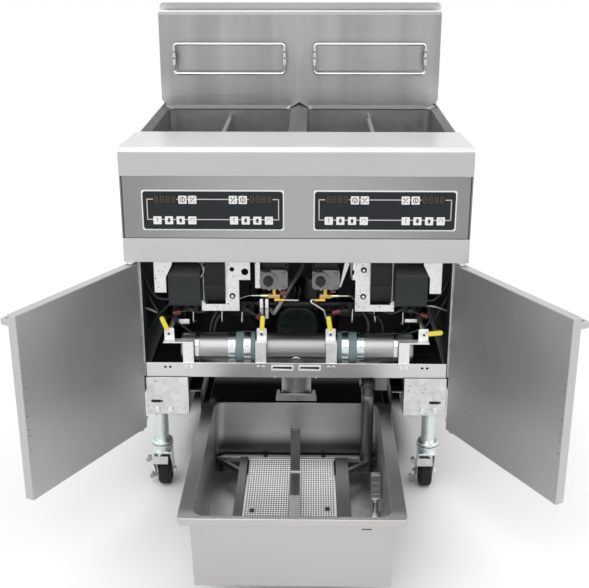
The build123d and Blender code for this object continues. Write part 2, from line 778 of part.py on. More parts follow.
# Gas train: manifold, valves, knobs and pilot lines
valve_centre_x = (gas_valve_x[0] + gas_valve_x[1]) / 2
gas_drop_r = 11.0
gas_drop_x = (valve_centre_x, valve_centre_x + gas_valve_shift)
gas_pipes = rod((gas_drop_x[0] - gas_pipe_r, gas_pipe_y, gas_pipe_z),
                (gas_drop_x[1] + gas_pipe_r, gas_pipe_y, gas_pipe_z), gas_pipe_r)
gas_pipes += rod((0, gas_pipe_y, gas_pipe_z), (0, gas_inlet[0], gas_pipe_z), gas_run_r)
gas_pipes += rod((0, gas_inlet[0], gas_pipe_z), (0, gas_inlet[1], gas_pipe_z), gas_pipe_r)
for x in gas_drop_x:
    gas_pipes += rod((x, gas_pipe_y, gas_valve_z[1]), (x, gas_pipe_y, gas_pipe_z), gas_drop_r)
save("gas_manifold", gas_pipes)

valve_corner = 9.0
valve_boss = (21.0, 4.0)


def gas_valve():
    x0, x1 = gas_valve_x
    y0, y1 = gas_valve_y
    z0, z1 = gas_valve_z
    step_z, set_back, narrower = gas_valve_step
    body = block(x0, x1, y0, y1, z0, step_z)
    body = fillet(body.edges().filter_by(Axis.Y), valve_corner)
    body += block(x0 + narrower, x1 - narrower, y0 + set_back, y1, step_z - valve_corner, z1)
    x, z = knob_at
    radius, rise = valve_boss
    face_y = y0 - rise
    body += rod((x, face_y, z), (x, y0, z), radius)
    body += block(x0, x, face_y, y0, z - radius + valve_corner, z + radius - valve_corner)
    return body - rod((x, face_y, z), (x, y0 + knob_stem_depth, z), knob_stem_r + running)


def gas_knob(shift):
    x = knob_at[0] + shift
    face_y = gas_valve_y[0] - valve_boss[1] - slip
    at = Pos(x, face_y, knob_at[1]) * Rot(90, 0, 0)
    dial = extrude(Circle(knob_r), knob_dial)
    grip = extrude(SlotOverall(*knob_grip, rotation=90), knob_length)
    stem = extrude(Circle(knob_stem_r), -knob_stem_depth)
    return at * (dial + grip + stem)


knob_stem_depth = 12.0
save("gas_valves", gas_valve(), Pos(gas_valve_shift, 0, 0) * gas_valve())
save("gas_knob_left", gas_knob(0))
save("gas_knob_right", gas_knob(gas_valve_shift))


def pilot_fitting(x, sign):
    length, radius = pilot_body
    at = Plane(origin=(x, pilot_y, pilot_z), z_dir=(sign, 0, 0))
    body = extrude(at * RegularPolygon(radius, 6), length)
    neck_x = x + sign * length
    body += rod((neck_x, pilot_y, pilot_z), (neck_x + sign * pilot_neck[0], pilot_y, pilot_z), pilot_neck[1])
    out, reach, elbow_r, drop = pilot_elbow
    body += rod((x + sign * out, pilot_y, pilot_z - drop), (x - sign * reach, pilot_y, pilot_z - drop), elbow_r)
    mid = x + sign * length / 2
    return body + rod((mid, pilot_y, pilot_z), (mid, pilot_y, gas_valve_z[0]), pilot_inlet_r)


def pilot_tube(points):
    return swept(FilletPolyline(*points, radius=pilot_bend_r), pilot_tube_r)


def outer_tube(x, sign, straight):
    across, back, up = pilot_out_end
    start = x + sign * (pilot_body[0] + pilot_neck[0])
    turn = start + sign * straight
    return pilot_tube([(start, pilot_y, pilot_z), (turn, pilot_y, pilot_z),
                       (turn + sign * across, pilot_y + back, pilot_z + up)])


def left_inner_tube():
    x = pilot_x[0] + pilot_elbow[1]
    z = pilot_z - pilot_elbow[3]
    run, rise = pilot_left_run
    back, up = pilot_left_tail
    return pilot_tube([(x, pilot_y, z), (x + run, pilot_y, z + rise), (x + run, pilot_y + back, z + rise + up)])


def right_inner_tube():
    x = pilot_x[1] - pilot_elbow[1]
    z = pilot_z - pilot_elbow[3]
    points = [(x, pilot_y, z), (x + pilot_right_run[0], pilot_y, z + pilot_right_run[1])]
    x, y, z = (points[1][k] + pilot_right_turn[k] for k in range(3))
    return pilot_tube(points + [(x, y, z), (x + pilot_right_tail[0], y, z + pilot_right_tail[1])])


fittings = [pilot_fitting(x, sign) for x, sign in zip(pilot_x, (-1, 1))]
pilot_tubes = [outer_tube(x, sign, straight) for x, sign, straight in zip(pilot_x, (-1, 1), pilot_out)]
pilot_tubes += [left_inner_tube(), right_inner_tube()]
save("pilot_lines", *fittings, *pilot_tubes)

# Drain manifold: centre pipe with its spout and splash guard, and an end pipe on each side


def pipe(x0, x1, radius):
    return rod((x0, pipe_y, pipe_z), (x1, pipe_y, pipe_z), radius)


def centre_pipe():
    body = pipe(-pipe_joint_x, pipe_joint_x, pipe_r)
    body += rod((0, pipe_y + spout_back, spout_bottom_z), (0, pipe_y + spout_back, pipe_z), pipe_r)
    half, y0, y1 = guard_size
    z0, z1, z2, z3 = guard_z
    foot_x, in_x, out_x = guard_ear_x
    right_edge = [(half, z0), (half, z1), (out_x, z3), (in_x, z3), (foot_x, z2)]
    guard = prism_y(right_edge + [(-x, z) for x, z in reversed(right_edge)], y0, y0 + heavy)
    guard += block(-half, half, y0, y1, z0, z0 + heavy)
    for x in (-half, half - heavy):
        guard += block(x, x + heavy, y0, y1, z0, z1)
    body += guard
    body -= rod((0, pipe_y + spout_back, z0 - 1), (0, pipe_y + spout_back, pipe_z), pipe_r - heavy)
    return body


def end_pipe(end_x):
    start = pipe_joint_x + slip
    body = pipe(start, end_x, pipe_r)
    return fillet(body.edges().filter_by(GeomType.CIRCLE).sort_by(Axis.X)[-1], pipe_cap)


pipe_cap = 6.0
spout_back = 9.0
left_end = mirror(end_pipe(pipe_end_x[0]), about=Plane.YZ)
save("drain_manifold", centre_pipe(), left_end, end_pipe(pipe_end_x[1]))


def sleeve(x0, x1, inner, outer):
    return pipe(x0, x1, outer) - pipe(x0 - 1, x1 + 1, inner)


coupling = sleeve(pipe_joint_x - coupling_half, pipe_joint_x + coupling_half, pipe_r, pipe_r + coupling_wall)
save("drain_couplings", *both_sides(coupling))


def hose_clamp(x0, x1, radius):
    band = sleeve(x0, x1, radius, radius + band_wall)
    top = radius + band_wall
    at = Pos((x0 + x1) / 2, pipe_y, pipe_z) * Rot(band_screw_turn, 0, 0)
    worm = Box(min(band_screw[1], x1 - x0), band_screw[0], band_screw[2])
    worm = at * Pos(0, 0, top + band_screw[2] / 2 - band_wall) * worm
    return band + (worm - pipe(x0 - 1, x1 + 1, top - band_wall / 2))


clamps = []
for x0, x1 in band_on_coupling:
    clamps += both_sides(hose_clamp(x0, x1, pipe_r + coupling_wall))
for x0, x1 in band_on_pipe:
    clamps += both_sides(hose_clamp(x0, x1, pipe_r))
save("hose_clamps", *clamps)

# Drain lines: from each vat through its valve into the back of the manifold


def drain_line(sign, x):
    entry_x = min(x, pipe_end_x[0] - drain_entry_set)
    path = FilletPolyline((x, pot_y[0] - pot_wall, drain_z), (x, drain_line_y, drain_z),
                          (x, drain_line_y, drain_entry_z), (entry_x, pipe_y + pipe_r / 2, drain_entry_z),
                          radius=drain_bend_r)
    line = swept(path, drain_line_r)
    line += rod((x, drain_line_y, handle_z - drain_valve_r), (x, drain_line_y, handle_z + drain_valve_r),
                drain_valve_r)
    line += rod((x, bonnet_front_y, handle_z), (x, drain_line_y, handle_z), bonnet_r)
    line -= pipe(0, pipe_end_x[1], pipe_r)
    for x0, x1, radius in pipe_wraps:
        line -= pipe(x0 - slip, x1 + slip, radius + slip)
    line -= rod((x, bonnet_front_y - 1, handle_z), (x, bonnet_front_y + shaft_entry, handle_z),
                shaft_r + running)
    return line if sign > 0 else mirror(line, about=Plane.YZ)


bonnet_r = 12.0
shaft_entry = 12.0
pipe_wraps = [(x0, x1, pipe_r + band_wall) for x0, x1 in band_on_pipe]
pipe_wraps.append((pipe_joint_x - coupling_half, pipe_joint_x + coupling_half, pipe_r + coupling_wall))
save("drain_lines", *[drain_line(sign, x) for sign in (-1, 1) for x in drain_x])

# Handle brackets: a strap behind the rail, a shelf and an upright tab with the shaft's bearing hole


def handle_bracket(x_strap, x_tab):
    half = strap_width / 2
    strap = block(x_strap - half, x_strap + half, strap_y, strap_y + heavy, strap_bottom_z, shelf_z)
    x0 = min(x_strap, x_tab) - half
    x1 = max(x_strap, x_tab) + half
    strap += block(x0, x1, strap_y, tab_y + heavy, shelf_z - heavy, shelf_z)
    tab_height = tab_top_z - shelf_z + heavy
    strap += Pos(x_tab, tab_y + heavy, tab_top_z - tab_height / 2) * Rot(90, 0, 0) * extrude(
        RectangleRounded(tab_width, tab_height, tab_corner_r), heavy)
    return strap - rod((x_tab, tab_y - 1, handle_z), (x_tab, tab_y + heavy + 1, handle_z), shaft_r + running)


brackets = []
for x_strap, x_tab in zip(strap_x, drain_x):
    brackets += both_sides(handle_bracket(x_strap, x_tab))
save("handle_brackets", *brackets)

# Drain handles: a shaft from the valve to the front, and a grip on its end


def drain_handle(x, angle):
    hub_y = tab_y - slip
    pivot = Axis((x, 0, handle_z), (0, 1, 0))
    front = Pos(x, hub_y, handle_z) * Rot(90, 0, 0)
    bar_z = (handle_depth - handle_bar[1]) / 2
    bar_top = handle_length - handle_bar[0] / 2
    bar = Pos(0, 0, bar_z) * extrude(Pos(0, bar_top / 2) * Rectangle(handle_bar[0], bar_top), handle_bar[1])
    steel = extrude(Circle(handle_hub_r), handle_depth) + bar
    shaft_end = bonnet_front_y + shaft_entry - 1
    steel = front * steel + rod((x, hub_y - 1, handle_z), (x, shaft_end, handle_z), shaft_r)
    grip_length = handle_length - handle_grip_start
    grip = extrude(Pos(0, handle_grip_start + grip_length / 2) * SlotOverall(
        grip_length, handle_width, rotation=90), handle_depth)
    grip = fillet(grip.faces().filter_by(Axis.Z).edges(), handle_grip_round)
    grip -= bar
    return [steel.rotate(pivot, angle), (front * grip).rotate(pivot, angle)]


handle_grip_round = 2.0
handle_x = (-drain_x[1], -drain_x[0], drain_x[0], drain_x[1])
for index, (x, angle) in enumerate(zip(handle_x, handle_angles)):
    save(f"drain_handle_{index + 1}", *drain_handle(x, angle))

# Return manifold with its valves, and the red handles
returns = rod((return_pivots[0] - return_end, return_y, return_z),
              (return_pivots[-1] + return_end, return_y, return_z), return_r)
for x in return_pivots:
    returns += Pos(x, return_y - return_body_set, return_z) * Box(*return_body)
    returns -= rod((x, return_y - return_bore, return_z), (x, return_y, return_z), return_stem_r + running)
riser = FilletPolyline((0, return_y, return_z), (0, riser_y, return_z), (0, riser_y, pump_z + pump_r / 2),
                       radius=riser_bend_r)
returns += swept(riser, riser_r)
returns -= rod((0, pump_y[0], pump_z), (0, pump_y[1], pump_z), pump_r)
save("return_manifold", returns)


def return_handle(x, reach):
    length = hypot(*reach)
    spin = degrees(atan2(-reach[1], reach[0]))
    y = return_lever_y
    half = return_collar[1] / 2
    steel = rod((0, y, 0), (0, return_y - 1, 0), return_stem_r)
    steel += rod((0, y - half, 0), (0, y + half, 0), return_collar[0])
    arm = rod((0, y, 0), (length - return_grip_round, y, 0), return_rod_r)
    grip = rod((length - return_grip_length, y, 0), (length, y, 0), return_grip_r)
    grip = fillet(grip.edges().filter_by(GeomType.CIRCLE), return_grip_round)
    grip -= arm
    return [Pos(x, 0, return_z) * shape.rotate(Axis.Y, spin) for shape in (steel + arm, grip)]


for index, (x, reach) in enumerate(zip(return_pivots, return_reach)):
    save(f"return_handle_{index + 1}", *return_handle(x, reach))

# Filter pump on its shelf
pump = rod((0, pump_y[0], pump_z), (0, pump_y[1], pump_z), pump_r)
pump = fillet(pump.edges().filter_by(GeomType.CIRCLE).sort_by(Axis.Y)[0], pump_nose_r)
pump += block(-pump_foot, pump_foot, pump_y[0] + pump_foot_set, pump_y[1], rail_z + pump_shelf, pump_z)
for index in range(pump_slots):
    turn = Rot(0, index * 360 / pump_slots, 0)
    slot = extrude(Pos(pump_slot_at, 0) * SlotOverall(*pump_slot[:2]), -pump_slot[2])
    pump -= Pos(0, pump_y[0], pump_z) * turn * Rot(90, 0, 0) * slot
save("pump_motor", pump)

# Pan rails: Z shaped runners on the inner faces of the base channels


def pan_rail():
    flange_x = channel_x[0] - sheet
    line = [(flange_x, rail_z - heavy), (flange_x, hanger_top_z), (ledge_x[1], hanger_top_z),
            (ledge_x[1], ledge_top_z), (ledge_x[0], ledge_top_z)]
    return prism_y(folded(line, sheet), channel_front_y, pan_rail_rear_y)


pan_rail_rear_y = 600.0
save("pan_rails", *both_sides(pan_rail()))

# Filter drawer: pan, screen, hold-down frame and suction tube


def tray_rectangle(half, y, z, corner):
    return Pos(0, (y[0] + y[1]) / 2, z) * RectangleRounded(2 * half, y[1] - y[0], corner)


def tray(grow):
    top = tray_rectangle(pan_half + grow, (pan_inner_y[0] - grow, pan_inner_y[1] + grow), pan_rim_z,
                         pan_corner_r + grow)
    floor = tray_rectangle(pan_floor_half + grow, (pan_floor_y[0] - grow, pan_floor_y[1] + grow),
                           pan_floor_z - grow, pan_corner_r + grow)
    return loft([floor, top])


rim_corner = 12.0
rim_plate = extrude(tray_rectangle(pan_rim_half, pan_rim_y, pan_rim_z - pan_lip, rim_corner), pan_lip)
hollow_y = (pan_rim_y[0] + pan_wall, pan_rim_y[1] - pan_wall)
rim_hollow = extrude(tray_rectangle(pan_rim_half - pan_wall, hollow_y, pan_rim_z - pan_lip,
                                    rim_corner - pan_wall), pan_lip - pan_wall)
pan = (rim_plate - rim_hollow) + tray(pan_wall) - tray(0)
save("filter_pan", pan)

screen_x = (frame_left_x[1] + screen_gap, frame_right_x[0] - screen_gap)
screen_y = (frame_front_y + frame_bar + screen_gap, frame_rear_y - frame_bar - screen_gap)
screen_line = [(screen_y[0], screen_z[0]), (hold_bend_y, screen_z[0]), (screen_y[1], screen_z[1])]
screen = prism_x(folded(screen_line, -screen_sheet), *screen_x)
pitch_x = (screen_x[1] - screen_x[0] - 2 * screen_margin) / screen_holes[0]
pitch_y = (screen_y[1] - screen_y[0] - 2 * screen_margin) / screen_holes[1]
middle_x = (screen_x[0] + screen_x[1]) / 2
middle_y = (screen_y[0] + screen_y[1]) / 2
hole = Pos(middle_x, middle_y, screen_z[0]) * Box(screen_hole, screen_hole, 4 * (screen_z[1] - screen_z[0]))
screen -= [place * hole for place in GridLocations(pitch_x, pitch_y, *screen_holes)]
for x in (screen_x[0] + screen_post_r, screen_x[1] - screen_post_r):
    for y in (screen_y[0] + 2 * screen_post_r, hold_bend_y - 2 * screen_post_r):
        screen += rod((x, y, pan_floor_z), (x, y, screen_z[0] - screen_sheet / 2), screen_post_r)
save("pan_screen", screen)

# Hold-down frame: a hollow ring round the screen with wings at the back, and a strap to lift it by
wing_x = frame_rear_half - frame_wing_cut
ring_outer = [(-wing_x, frame_rear_y), (wing_x, frame_rear_y),
              (frame_rear_half, frame_rear_y - frame_wing), (frame_right_x[1], frame_diag_y),
              (frame_right_x[1], frame_front_y), (frame_left_x[0], frame_front_y),
              (frame_left_x[0], frame_diag_y), (-frame_rear_half, frame_rear_y - frame_wing)]
inner_rear_y = frame_rear_y - frame_bar
ring_inner = [(frame_left_x[1], inner_rear_y), (frame_right_x[0], inner_rear_y),
              (frame_right_x[0], frame_front_y + frame_bar), (frame_left_x[1], frame_front_y + frame_bar)]
ring = outline(ring_outer) - outline(ring_inner)
for sign, bar_x in ((-1, frame_left_x[0]), (1, frame_right_x[1])):
    run = frame_rear_half - sign * bar_x
    drop = frame_rear_y - frame_wing - frame_diag_y
    inset = frame_wing_bar * hypot(run, drop) / drop
    far_x = frame_rear_half - inset + (frame_wing - frame_bar) * run / drop
    ring -= outline([(bar_x, inner_rear_y), (bar_x, frame_diag_y + inset * drop / run), (sign * far_x, inner_rear_y)])
frame = extrude(Pos(0, 0, frame_z[0]) * ring, frame_z[1] - frame_z[0])
ring_hollow = outline([
    (frame_left_x[0] + sheet, frame_front_y + sheet), (frame_right_x[1] - sheet, frame_front_y + sheet),
    (frame_right_x[1] - sheet, inner_rear_y + sheet), (frame_left_x[0] + sheet, inner_rear_y + sheet)])
ring_hollow -= outline([
    (frame_left_x[1] - sheet, inner_rear_y + sheet), (frame_right_x[0] + sheet, inner_rear_y + sheet),
    (frame_right_x[0] + sheet, frame_front_y + frame_bar - sheet),
    (frame_left_x[1] - sheet, frame_front_y + frame_bar - sheet)])
frame -= extrude(Pos(0, 0, frame_z[0]) * ring_hollow, frame_z[1] - frame_z[0] - sheet)
for x in frame_hole_x:
    y = frame_rear_y - frame_bar / 2
    frame -= rod((x, y, frame_z[0] - 1), (x, y, frame_z[1] + 1), frame_hole_r)
strap_z = frame_z[1]
strap_front_y = frame_front_y + heavy
strap_line = [(strap_front_y, strap_z), (strap_front_y, strap_z + hold_step),
              (hold_step_y - hold_ramp, strap_z + hold_step), (hold_step_y, strap_z), (hold_bend_y, strap_z),
              (hold_bend_y, hold_top_z)]
strap_profile = outline(folded(strap_line, heavy))
strap_profile = fillet(strap_profile.vertices().sort_by_distance((hold_bend_y, frame_z[1]))[0], heavy)
strap = extrude(Plane.YZ.offset(-hold_strap_half) * strap_profile, 2 * hold_strap_half)
strap -= block(-hold_slot[0] / 2, hold_slot[0] / 2, hold_bend_y - 2 * heavy, hold_bend_y + heavy,
               hold_top_z - 2 * hold_slot[1], hold_top_z - hold_slot[1])
save("hold_down_frame", frame + strap)

# Suction tube up the back wall, its connector, and the pick-up beside the screen
tube_path = FilletPolyline((*suction_at, frame_z[1]), (*suction_at, suction_top_z),
                           (suction_at[0], suction_end_y, suction_top_z), radius=suction_bend_r)
tube = swept(tube_path, suction_r)
connector = rod((suction_at[0], suction_end_y - connector_length, suction_top_z),
                (suction_at[0], suction_end_y, suction_top_z), suction_r + heavy)
connector -= rod((suction_at[0], suction_end_y - connector_length - 1, suction_top_z),
                 (suction_at[0], suction_end_y + 1, suction_top_z), suction_r)
x, y = pickup_at
pickup = block(*pickup_base, pan_floor_z, pan_floor_z + heavy)
pickup += rod((x, y, pan_floor_z), (x, y, pan_floor_z + heavy + pickup_flange[1]), pickup_flange[0])
pickup += rod((x, y, pan_floor_z), (x, y, pickup_head_z[0]), pickup_neck_r)
flare = loft([Circle(pickup_neck_r), Pos(0, 0, pickup_flare) * Circle(pickup_head[0] / 2)])
pickup += Pos(x, y, pickup_head_z[0] - pickup_flare) * flare
head = Pos(x, y, pickup_head_z[0]) * extrude(Rectangle(*pickup_head), pickup_head_z[1] - pickup_head_z[0])
head = fillet(head.edges().filter_by(Axis.Y).group_by(Axis.Z)[-1], pickup_neck_r)
slot_pitch = (pickup_head_z[1] - pickup_head_z[0]) / (pickup_slots + 1)
for row in range(pickup_slots):
    slot_z = pickup_head_z[0] + (row + 1) * slot_pitch
    head -= Pos(x, y, slot_z) * Box(pickup_slot[1], 2 * pickup_head[1], pickup_slot[0])
pickup += head
save("suction_tube", tube, connector, pickup)

# Doors, built shut on the left and then swung open about their pins
pin = Axis((-hinge_x, hinge_y, 0), (0, 0, 1))
door_x0 = -hinge_x - door_edge
door_x1 = door_x0 + door_width
door_y1 = hinge_y + door_thick / 2
door_y0 = door_y1 - door_thick


def door_skin():
    skin = block(door_x0, door_x1, door_y0, door_y1, *door_z)
    skin = fillet(skin.edges().filter_by(Axis.Z).group_by(Axis.Y)[0], door_corner_r)
    skin -= block(door_x0 + door_sheet, door_x1 - door_sheet, door_y0 + door_sheet, door_y1,
                  door_z[0] + door_sheet, door_z[1] - door_sheet)
    skin -= rod((-hinge_x, hinge_y, door_z[0] - 1), (-hinge_x, hinge_y, door_z[1] + 1), hinge_pin_r + running)
    return skin


def door_pull():
    end = door_x1 - pull_inset
    start = end - pull_length
    front_y = door_y0 - pull_reach
    line = [(start, door_y0), (start, front_y), (end, front_y), (end, door_y0)]
    top = door_z[1] - pull_below_top
    return prism_z(folded(line, pull_bar), top - pull_height, top)


def door_liner():
    x0 = door_x0 + door_sheet + liner_gap
    x1 = door_x1 - door_sheet - liner_gap
    liner = block(x0, x1, door_y1 - door_sheet, door_y1, door_z[0] + door_sheet + liner_gap,
                  door_z[1] - door_sheet - liner_gap)
    for from_edge, z in liner_holes:
        x = door_x0 + from_edge
        liner -= rod((x, door_y1 - 2 * door_sheet, z), (x, door_y1 + 1, z), liner_hole_r)
    return liner


door_corner_r = 1.0
pull_inset = 6.0
liner_gap = 0.1
liner_hole_r = 2.0
liner_holes = [(386, z) for z in (518, 488, 474, 442, 408, 377, 362, 330)] + [
    (74, z) for z in (580, 561, 288, 269)]
leaf = door_skin().rotate(pin, -door_open)
pull = door_pull().rotate(pin, -door_open)
liner = door_liner().rotate(pin, -door_open)
save("door_left", leaf, pull)
save("door_liner_left", liner)
save("door_right", *[mirror(shape, about=Plane.YZ) for shape in (leaf, pull)])
save("door_liner_right", mirror(liner, about=Plane.YZ))

# Hinge brackets with their pins
bracket_reach = 52.0
bracket_half = 9.0
tab_gap = 3.0
lower_bracket_top = 300.0


def hinge_pin(z0, z1):
    return rod((hinge_x, hinge_y, z0), (hinge_x, hinge_y, z1), hinge_pin_r)


def lower_hinge():
    tab_z = door_z[0] - tab_gap - heavy
    rear_y = cabinet_front_y + bracket_reach
    tab = block(hinge_x - bracket_half, side_inner_x, hinge_y, rear_y, tab_z, tab_z + heavy)
    tab += rod((hinge_x, hinge_y, tab_z), (hinge_x, hinge_y, tab_z + heavy), bracket_half)
    tab += block(side_inner_x - heavy, side_inner_x, cabinet_front_y + sheet, rear_y,
                 tab_z, lower_bracket_top)
    return tab + hinge_pin(tab_z - heavy, door_z[0] + hinge_pin_reach)


def upper_hinge():
    tab_z = lower_panel_z - heavy
    tab = block(hinge_x - bracket_half, side_inner_x, hinge_y, cabinet_front_y, tab_z, lower_panel_z)
    tab += rod((hinge_x, hinge_y, tab_z), (hinge_x, hinge_y, lower_panel_z), bracket_half)
    return tab + hinge_pin(door_z[1] - hinge_pin_reach, lower_panel_z)


save("hinge_brackets", *both_sides(lower_hinge()), *both_sides(upper_hinge()))

# Legs: a plate inside the base channel, a tube, and the fixed race with its king pin
leg_spots = [(x, y) for y in (stem_front_y, stem_rear_y) for x in stem_x]
plate_half = 26.0
pin_tail = 2.0              # the king pin's end under the fork's crown


def leg(x, y):
    race = rod((x, y, race_z + slip), (x, y, race_z + race_height), race_r)
    race = chamfer(race.edges().filter_by(GeomType.CIRCLE).sort_by(Axis.Z)[-1], race_chamfer)
    body = race + rod((x, y, race_z + race_height - 1), (x, y, rail_z - heavy), stem_r)
    inner = 1 if x > 0 else -1
    x0 = inner * (channel_x[0] + heavy)
    x1 = inner * (channel_x[1] - heavy)
    body += block(x0, x1, y - plate_half, y + plate_half, leg_plate_z, leg_plate_z + leg_plate)
    return body + rod((x, y, fork_crown_z - pin_tail), (x, y, race_z + race_height), king_pin_r)


save("caster_legs", *[leg(*spot) for spot in leg_spots])

# Caster forks with their axle bolts, wheels, and brake levers on the front pair
crown_reach = 20.0
cheek_end = ((11.0, 6.0), (6.0, -9.0), (-6.0, -9.0), (-11.0, 4.0))    # from the axle, to the back and up
axle_head = (8.0, 5.0)
lever_plate = 3.0


def fork(x, y, brake_room):
    top = fork_crown_z + fork_plate
    outer = fork_inner + fork_plate
    body = block(-outer, outer, -crown_reach, crown_reach, fork_crown_z, top)
    body += rod((0, 0, top - 1), (0, 0, race_z - race_height + 1), fork_neck_r)
    race = rod((0, 0, race_z - race_height), (0, 0, race_z), race_r)
    body += chamfer(race.edges().filter_by(GeomType.CIRCLE), race_chamfer)
    cheek_line = [(-crown_reach, top), (crown_reach, top)]
    cheek_line += [(trail + back, wheel_r + up) for back, up in cheek_end]
    for side in both_sides(prism_x(cheek_line, fork_inner, outer)):
        body += side
    body -= rod((0, 0, fork_crown_z - 1), (0, 0, race_z + 1), king_pin_r + running)
    body -= rod((-outer - 1, trail, wheel_r), (outer + 1, trail, wheel_r), axle_r)
    bolt = rod((-outer - brake_room - 1, trail, wheel_r), (outer + 1, trail, wheel_r), axle_r)
    for start, way in ((-outer - brake_room, -1), (outer, 1)):
        head = Plane(origin=(start, trail, wheel_r), z_dir=(way, 0, 0)) * RegularPolygon(axle_head[0], 6)
        bolt += extrude(head, axle_head[1])
    return [Pos(x, y, 0) * body, Pos(x, y, 0) * bolt]


def wheel(x, y):
    half = wheel_width / 2
    hub = fork_inner - 2 * slip
    depth, start_r, end_r, tyre_r = wheel_dish
    side = [(hub, axle_r + running), (hub, hub_r), (half - depth, start_r), (half - depth, end_r),
            (half, tyre_r), (half, wheel_r)]
    face = outline(side + [(-a, radius) for a, radius in side[::-1]])
    rims = face.vertices().filter_by(lambda v: abs(v.Y - wheel_r) < running)
    return Pos(x, y + trail, wheel_r) * revolve(fillet(rims, tread_r), Axis.X)


def brake(x, y):
    inner = -fork_inner - fork_plate - slip
    outer = inner - lever_plate
    lever = prism_x(brake_arm, outer, inner)
    lever += rod((outer, 0, 0), (inner, 0, 0), brake_hub_r)
    lever += prism_x(brake_pad, outer, brake_pad_reach)
    ear_x = inner - brake_ear_out
    web_y0, web_y1, web_z = brake_ear_web
    for ear_y, ear_z in brake_ears:
        lever += rod((ear_x, ear_y, ear_z), (ear_x, ear_y + brake_ear_length, ear_z), brake_ear_r)
        lever += block(ear_x, inner, ear_y + web_y0, ear_y + web_y1, ear_z - web_z, ear_z + web_z)
    lever -= rod((outer - 1, 0, 0), (inner + 1, 0, 0), axle_r + running)
    return Pos(x, y + trail, wheel_r) * lever


for index, (x, y) in enumerate(leg_spots):
    braked = y == stem_front_y
    save(f"caster_fork_{index + 1}", *fork(x, y, lever_plate + 2 * slip if braked else 0))
    save(f"wheel_{index + 1}", wheel(x, y))
    if braked:
        save(f"brake_{index + 1}", brake(x, y))
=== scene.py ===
import bpy
import bmesh
from math import cos, hypot, inf, pi, radians, sin, sqrt
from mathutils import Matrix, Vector


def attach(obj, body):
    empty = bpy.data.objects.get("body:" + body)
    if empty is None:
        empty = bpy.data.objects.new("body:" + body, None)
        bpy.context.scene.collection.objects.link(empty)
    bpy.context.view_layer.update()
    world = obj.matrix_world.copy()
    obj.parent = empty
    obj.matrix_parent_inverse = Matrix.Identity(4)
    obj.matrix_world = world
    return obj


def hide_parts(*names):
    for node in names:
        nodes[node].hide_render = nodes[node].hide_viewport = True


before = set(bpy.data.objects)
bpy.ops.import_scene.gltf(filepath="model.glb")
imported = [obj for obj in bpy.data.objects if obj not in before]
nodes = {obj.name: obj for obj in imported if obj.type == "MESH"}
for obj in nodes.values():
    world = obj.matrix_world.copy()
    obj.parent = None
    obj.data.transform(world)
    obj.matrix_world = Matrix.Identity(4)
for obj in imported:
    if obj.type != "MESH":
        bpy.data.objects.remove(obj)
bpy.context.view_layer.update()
scene = bpy.context.scene
print("frame loaded:", len(nodes), "nodes")
right, back, towardFront, up, down = (1, 0, 0), (0, 1, 0), (0, -1, 0), (0, 0, 1), (0, 0, -1)
sides = (-1, 1)
perMetre = 1000      # millimetres


def newObject(name, data):
    obj = bpy.data.objects.new(name, data)
    scene.collection.objects.link(obj)
    return obj


# camera at the photograph's angle
shot = {"place": (0.0362, -2.2217, 1.3681), "tiltDown": 19.92, "turn": 1.0, "roll": 0.05, "lens": 61.87,
    "sensor": 36}
lensData = bpy.data.cameras.new("shotCamera")
lensData.lens = shot["lens"]
lensData.sensor_width = shot["sensor"]
camera = newObject("shotCamera", lensData)
camera.location = shot["place"]
camera.rotation_euler = [radians(a) for a in (90 - shot["tiltDown"], shot["roll"], shot["turn"])]
scene.camera = camera

# shader node helpers


def feed(tree, node, inputs):
    # an input takes a fixed value or another node's output
    for label, value in inputs.items():
        if isinstance(value, bpy.types.NodeSocket):
            tree.links.new(value, node.inputs[label])
        else:
            node.inputs[label].default_value = value


def addNode(tree, kind, inputs, **settings):
    node = tree.nodes.new("ShaderNode" + kind)
    for label, value in settings.items():
        setattr(node, label, value)
    feed(tree, node, inputs)
    return node.outputs


def joined(tree, how, a, b):
    return addNode(tree, "Math", {0: a, 1: b}, operation=how)[0]


def objectSpot(tree):
    return addNode(tree, "TexCoord", {})["Object"]


def noise(tree, spot, scale, detail=2.0):
    return addNode(tree, "TexNoise", {"Vector": spot, "Scale": scale, "Detail": detail})["Fac"]


def ranged(tree, value, low, high):
    return addNode(tree, "MapRange", {"Value": value, "To Min": low, "To Max": high})["Result"]


def stepped(tree, value, start, end, shape="LINEAR"):
    inputs = {"Value": value, "From Min": start, "From Max": end}
    return addNode(tree, "MapRange", inputs, interpolation_type=shape)["Result"]


def between(tree, value, dark, light):
    inputs = {"Factor": value}
    for label, side in (("A", dark), ("B", light)):
        inputs[label] = (*side, 1) if isinstance(side, tuple) else side
    return addNode(tree, "Mix", inputs, data_type="RGBA")["Result"]


def bumped(tree, height, strength, distance, normal=None):
    inputs = {"Height": height, "Strength": strength, "Distance": distance}
    if normal is not None:
        inputs["Normal"] = normal
    return addNode(tree, "Bump", inputs)["Normal"]


def grey(level, warm=0.0):
    return (level * (1 + warm), level, level * (1 - warm))


def lighter(colour, share):
    return tuple(min(1, max(0, c * (1 + share))) for c in colour)


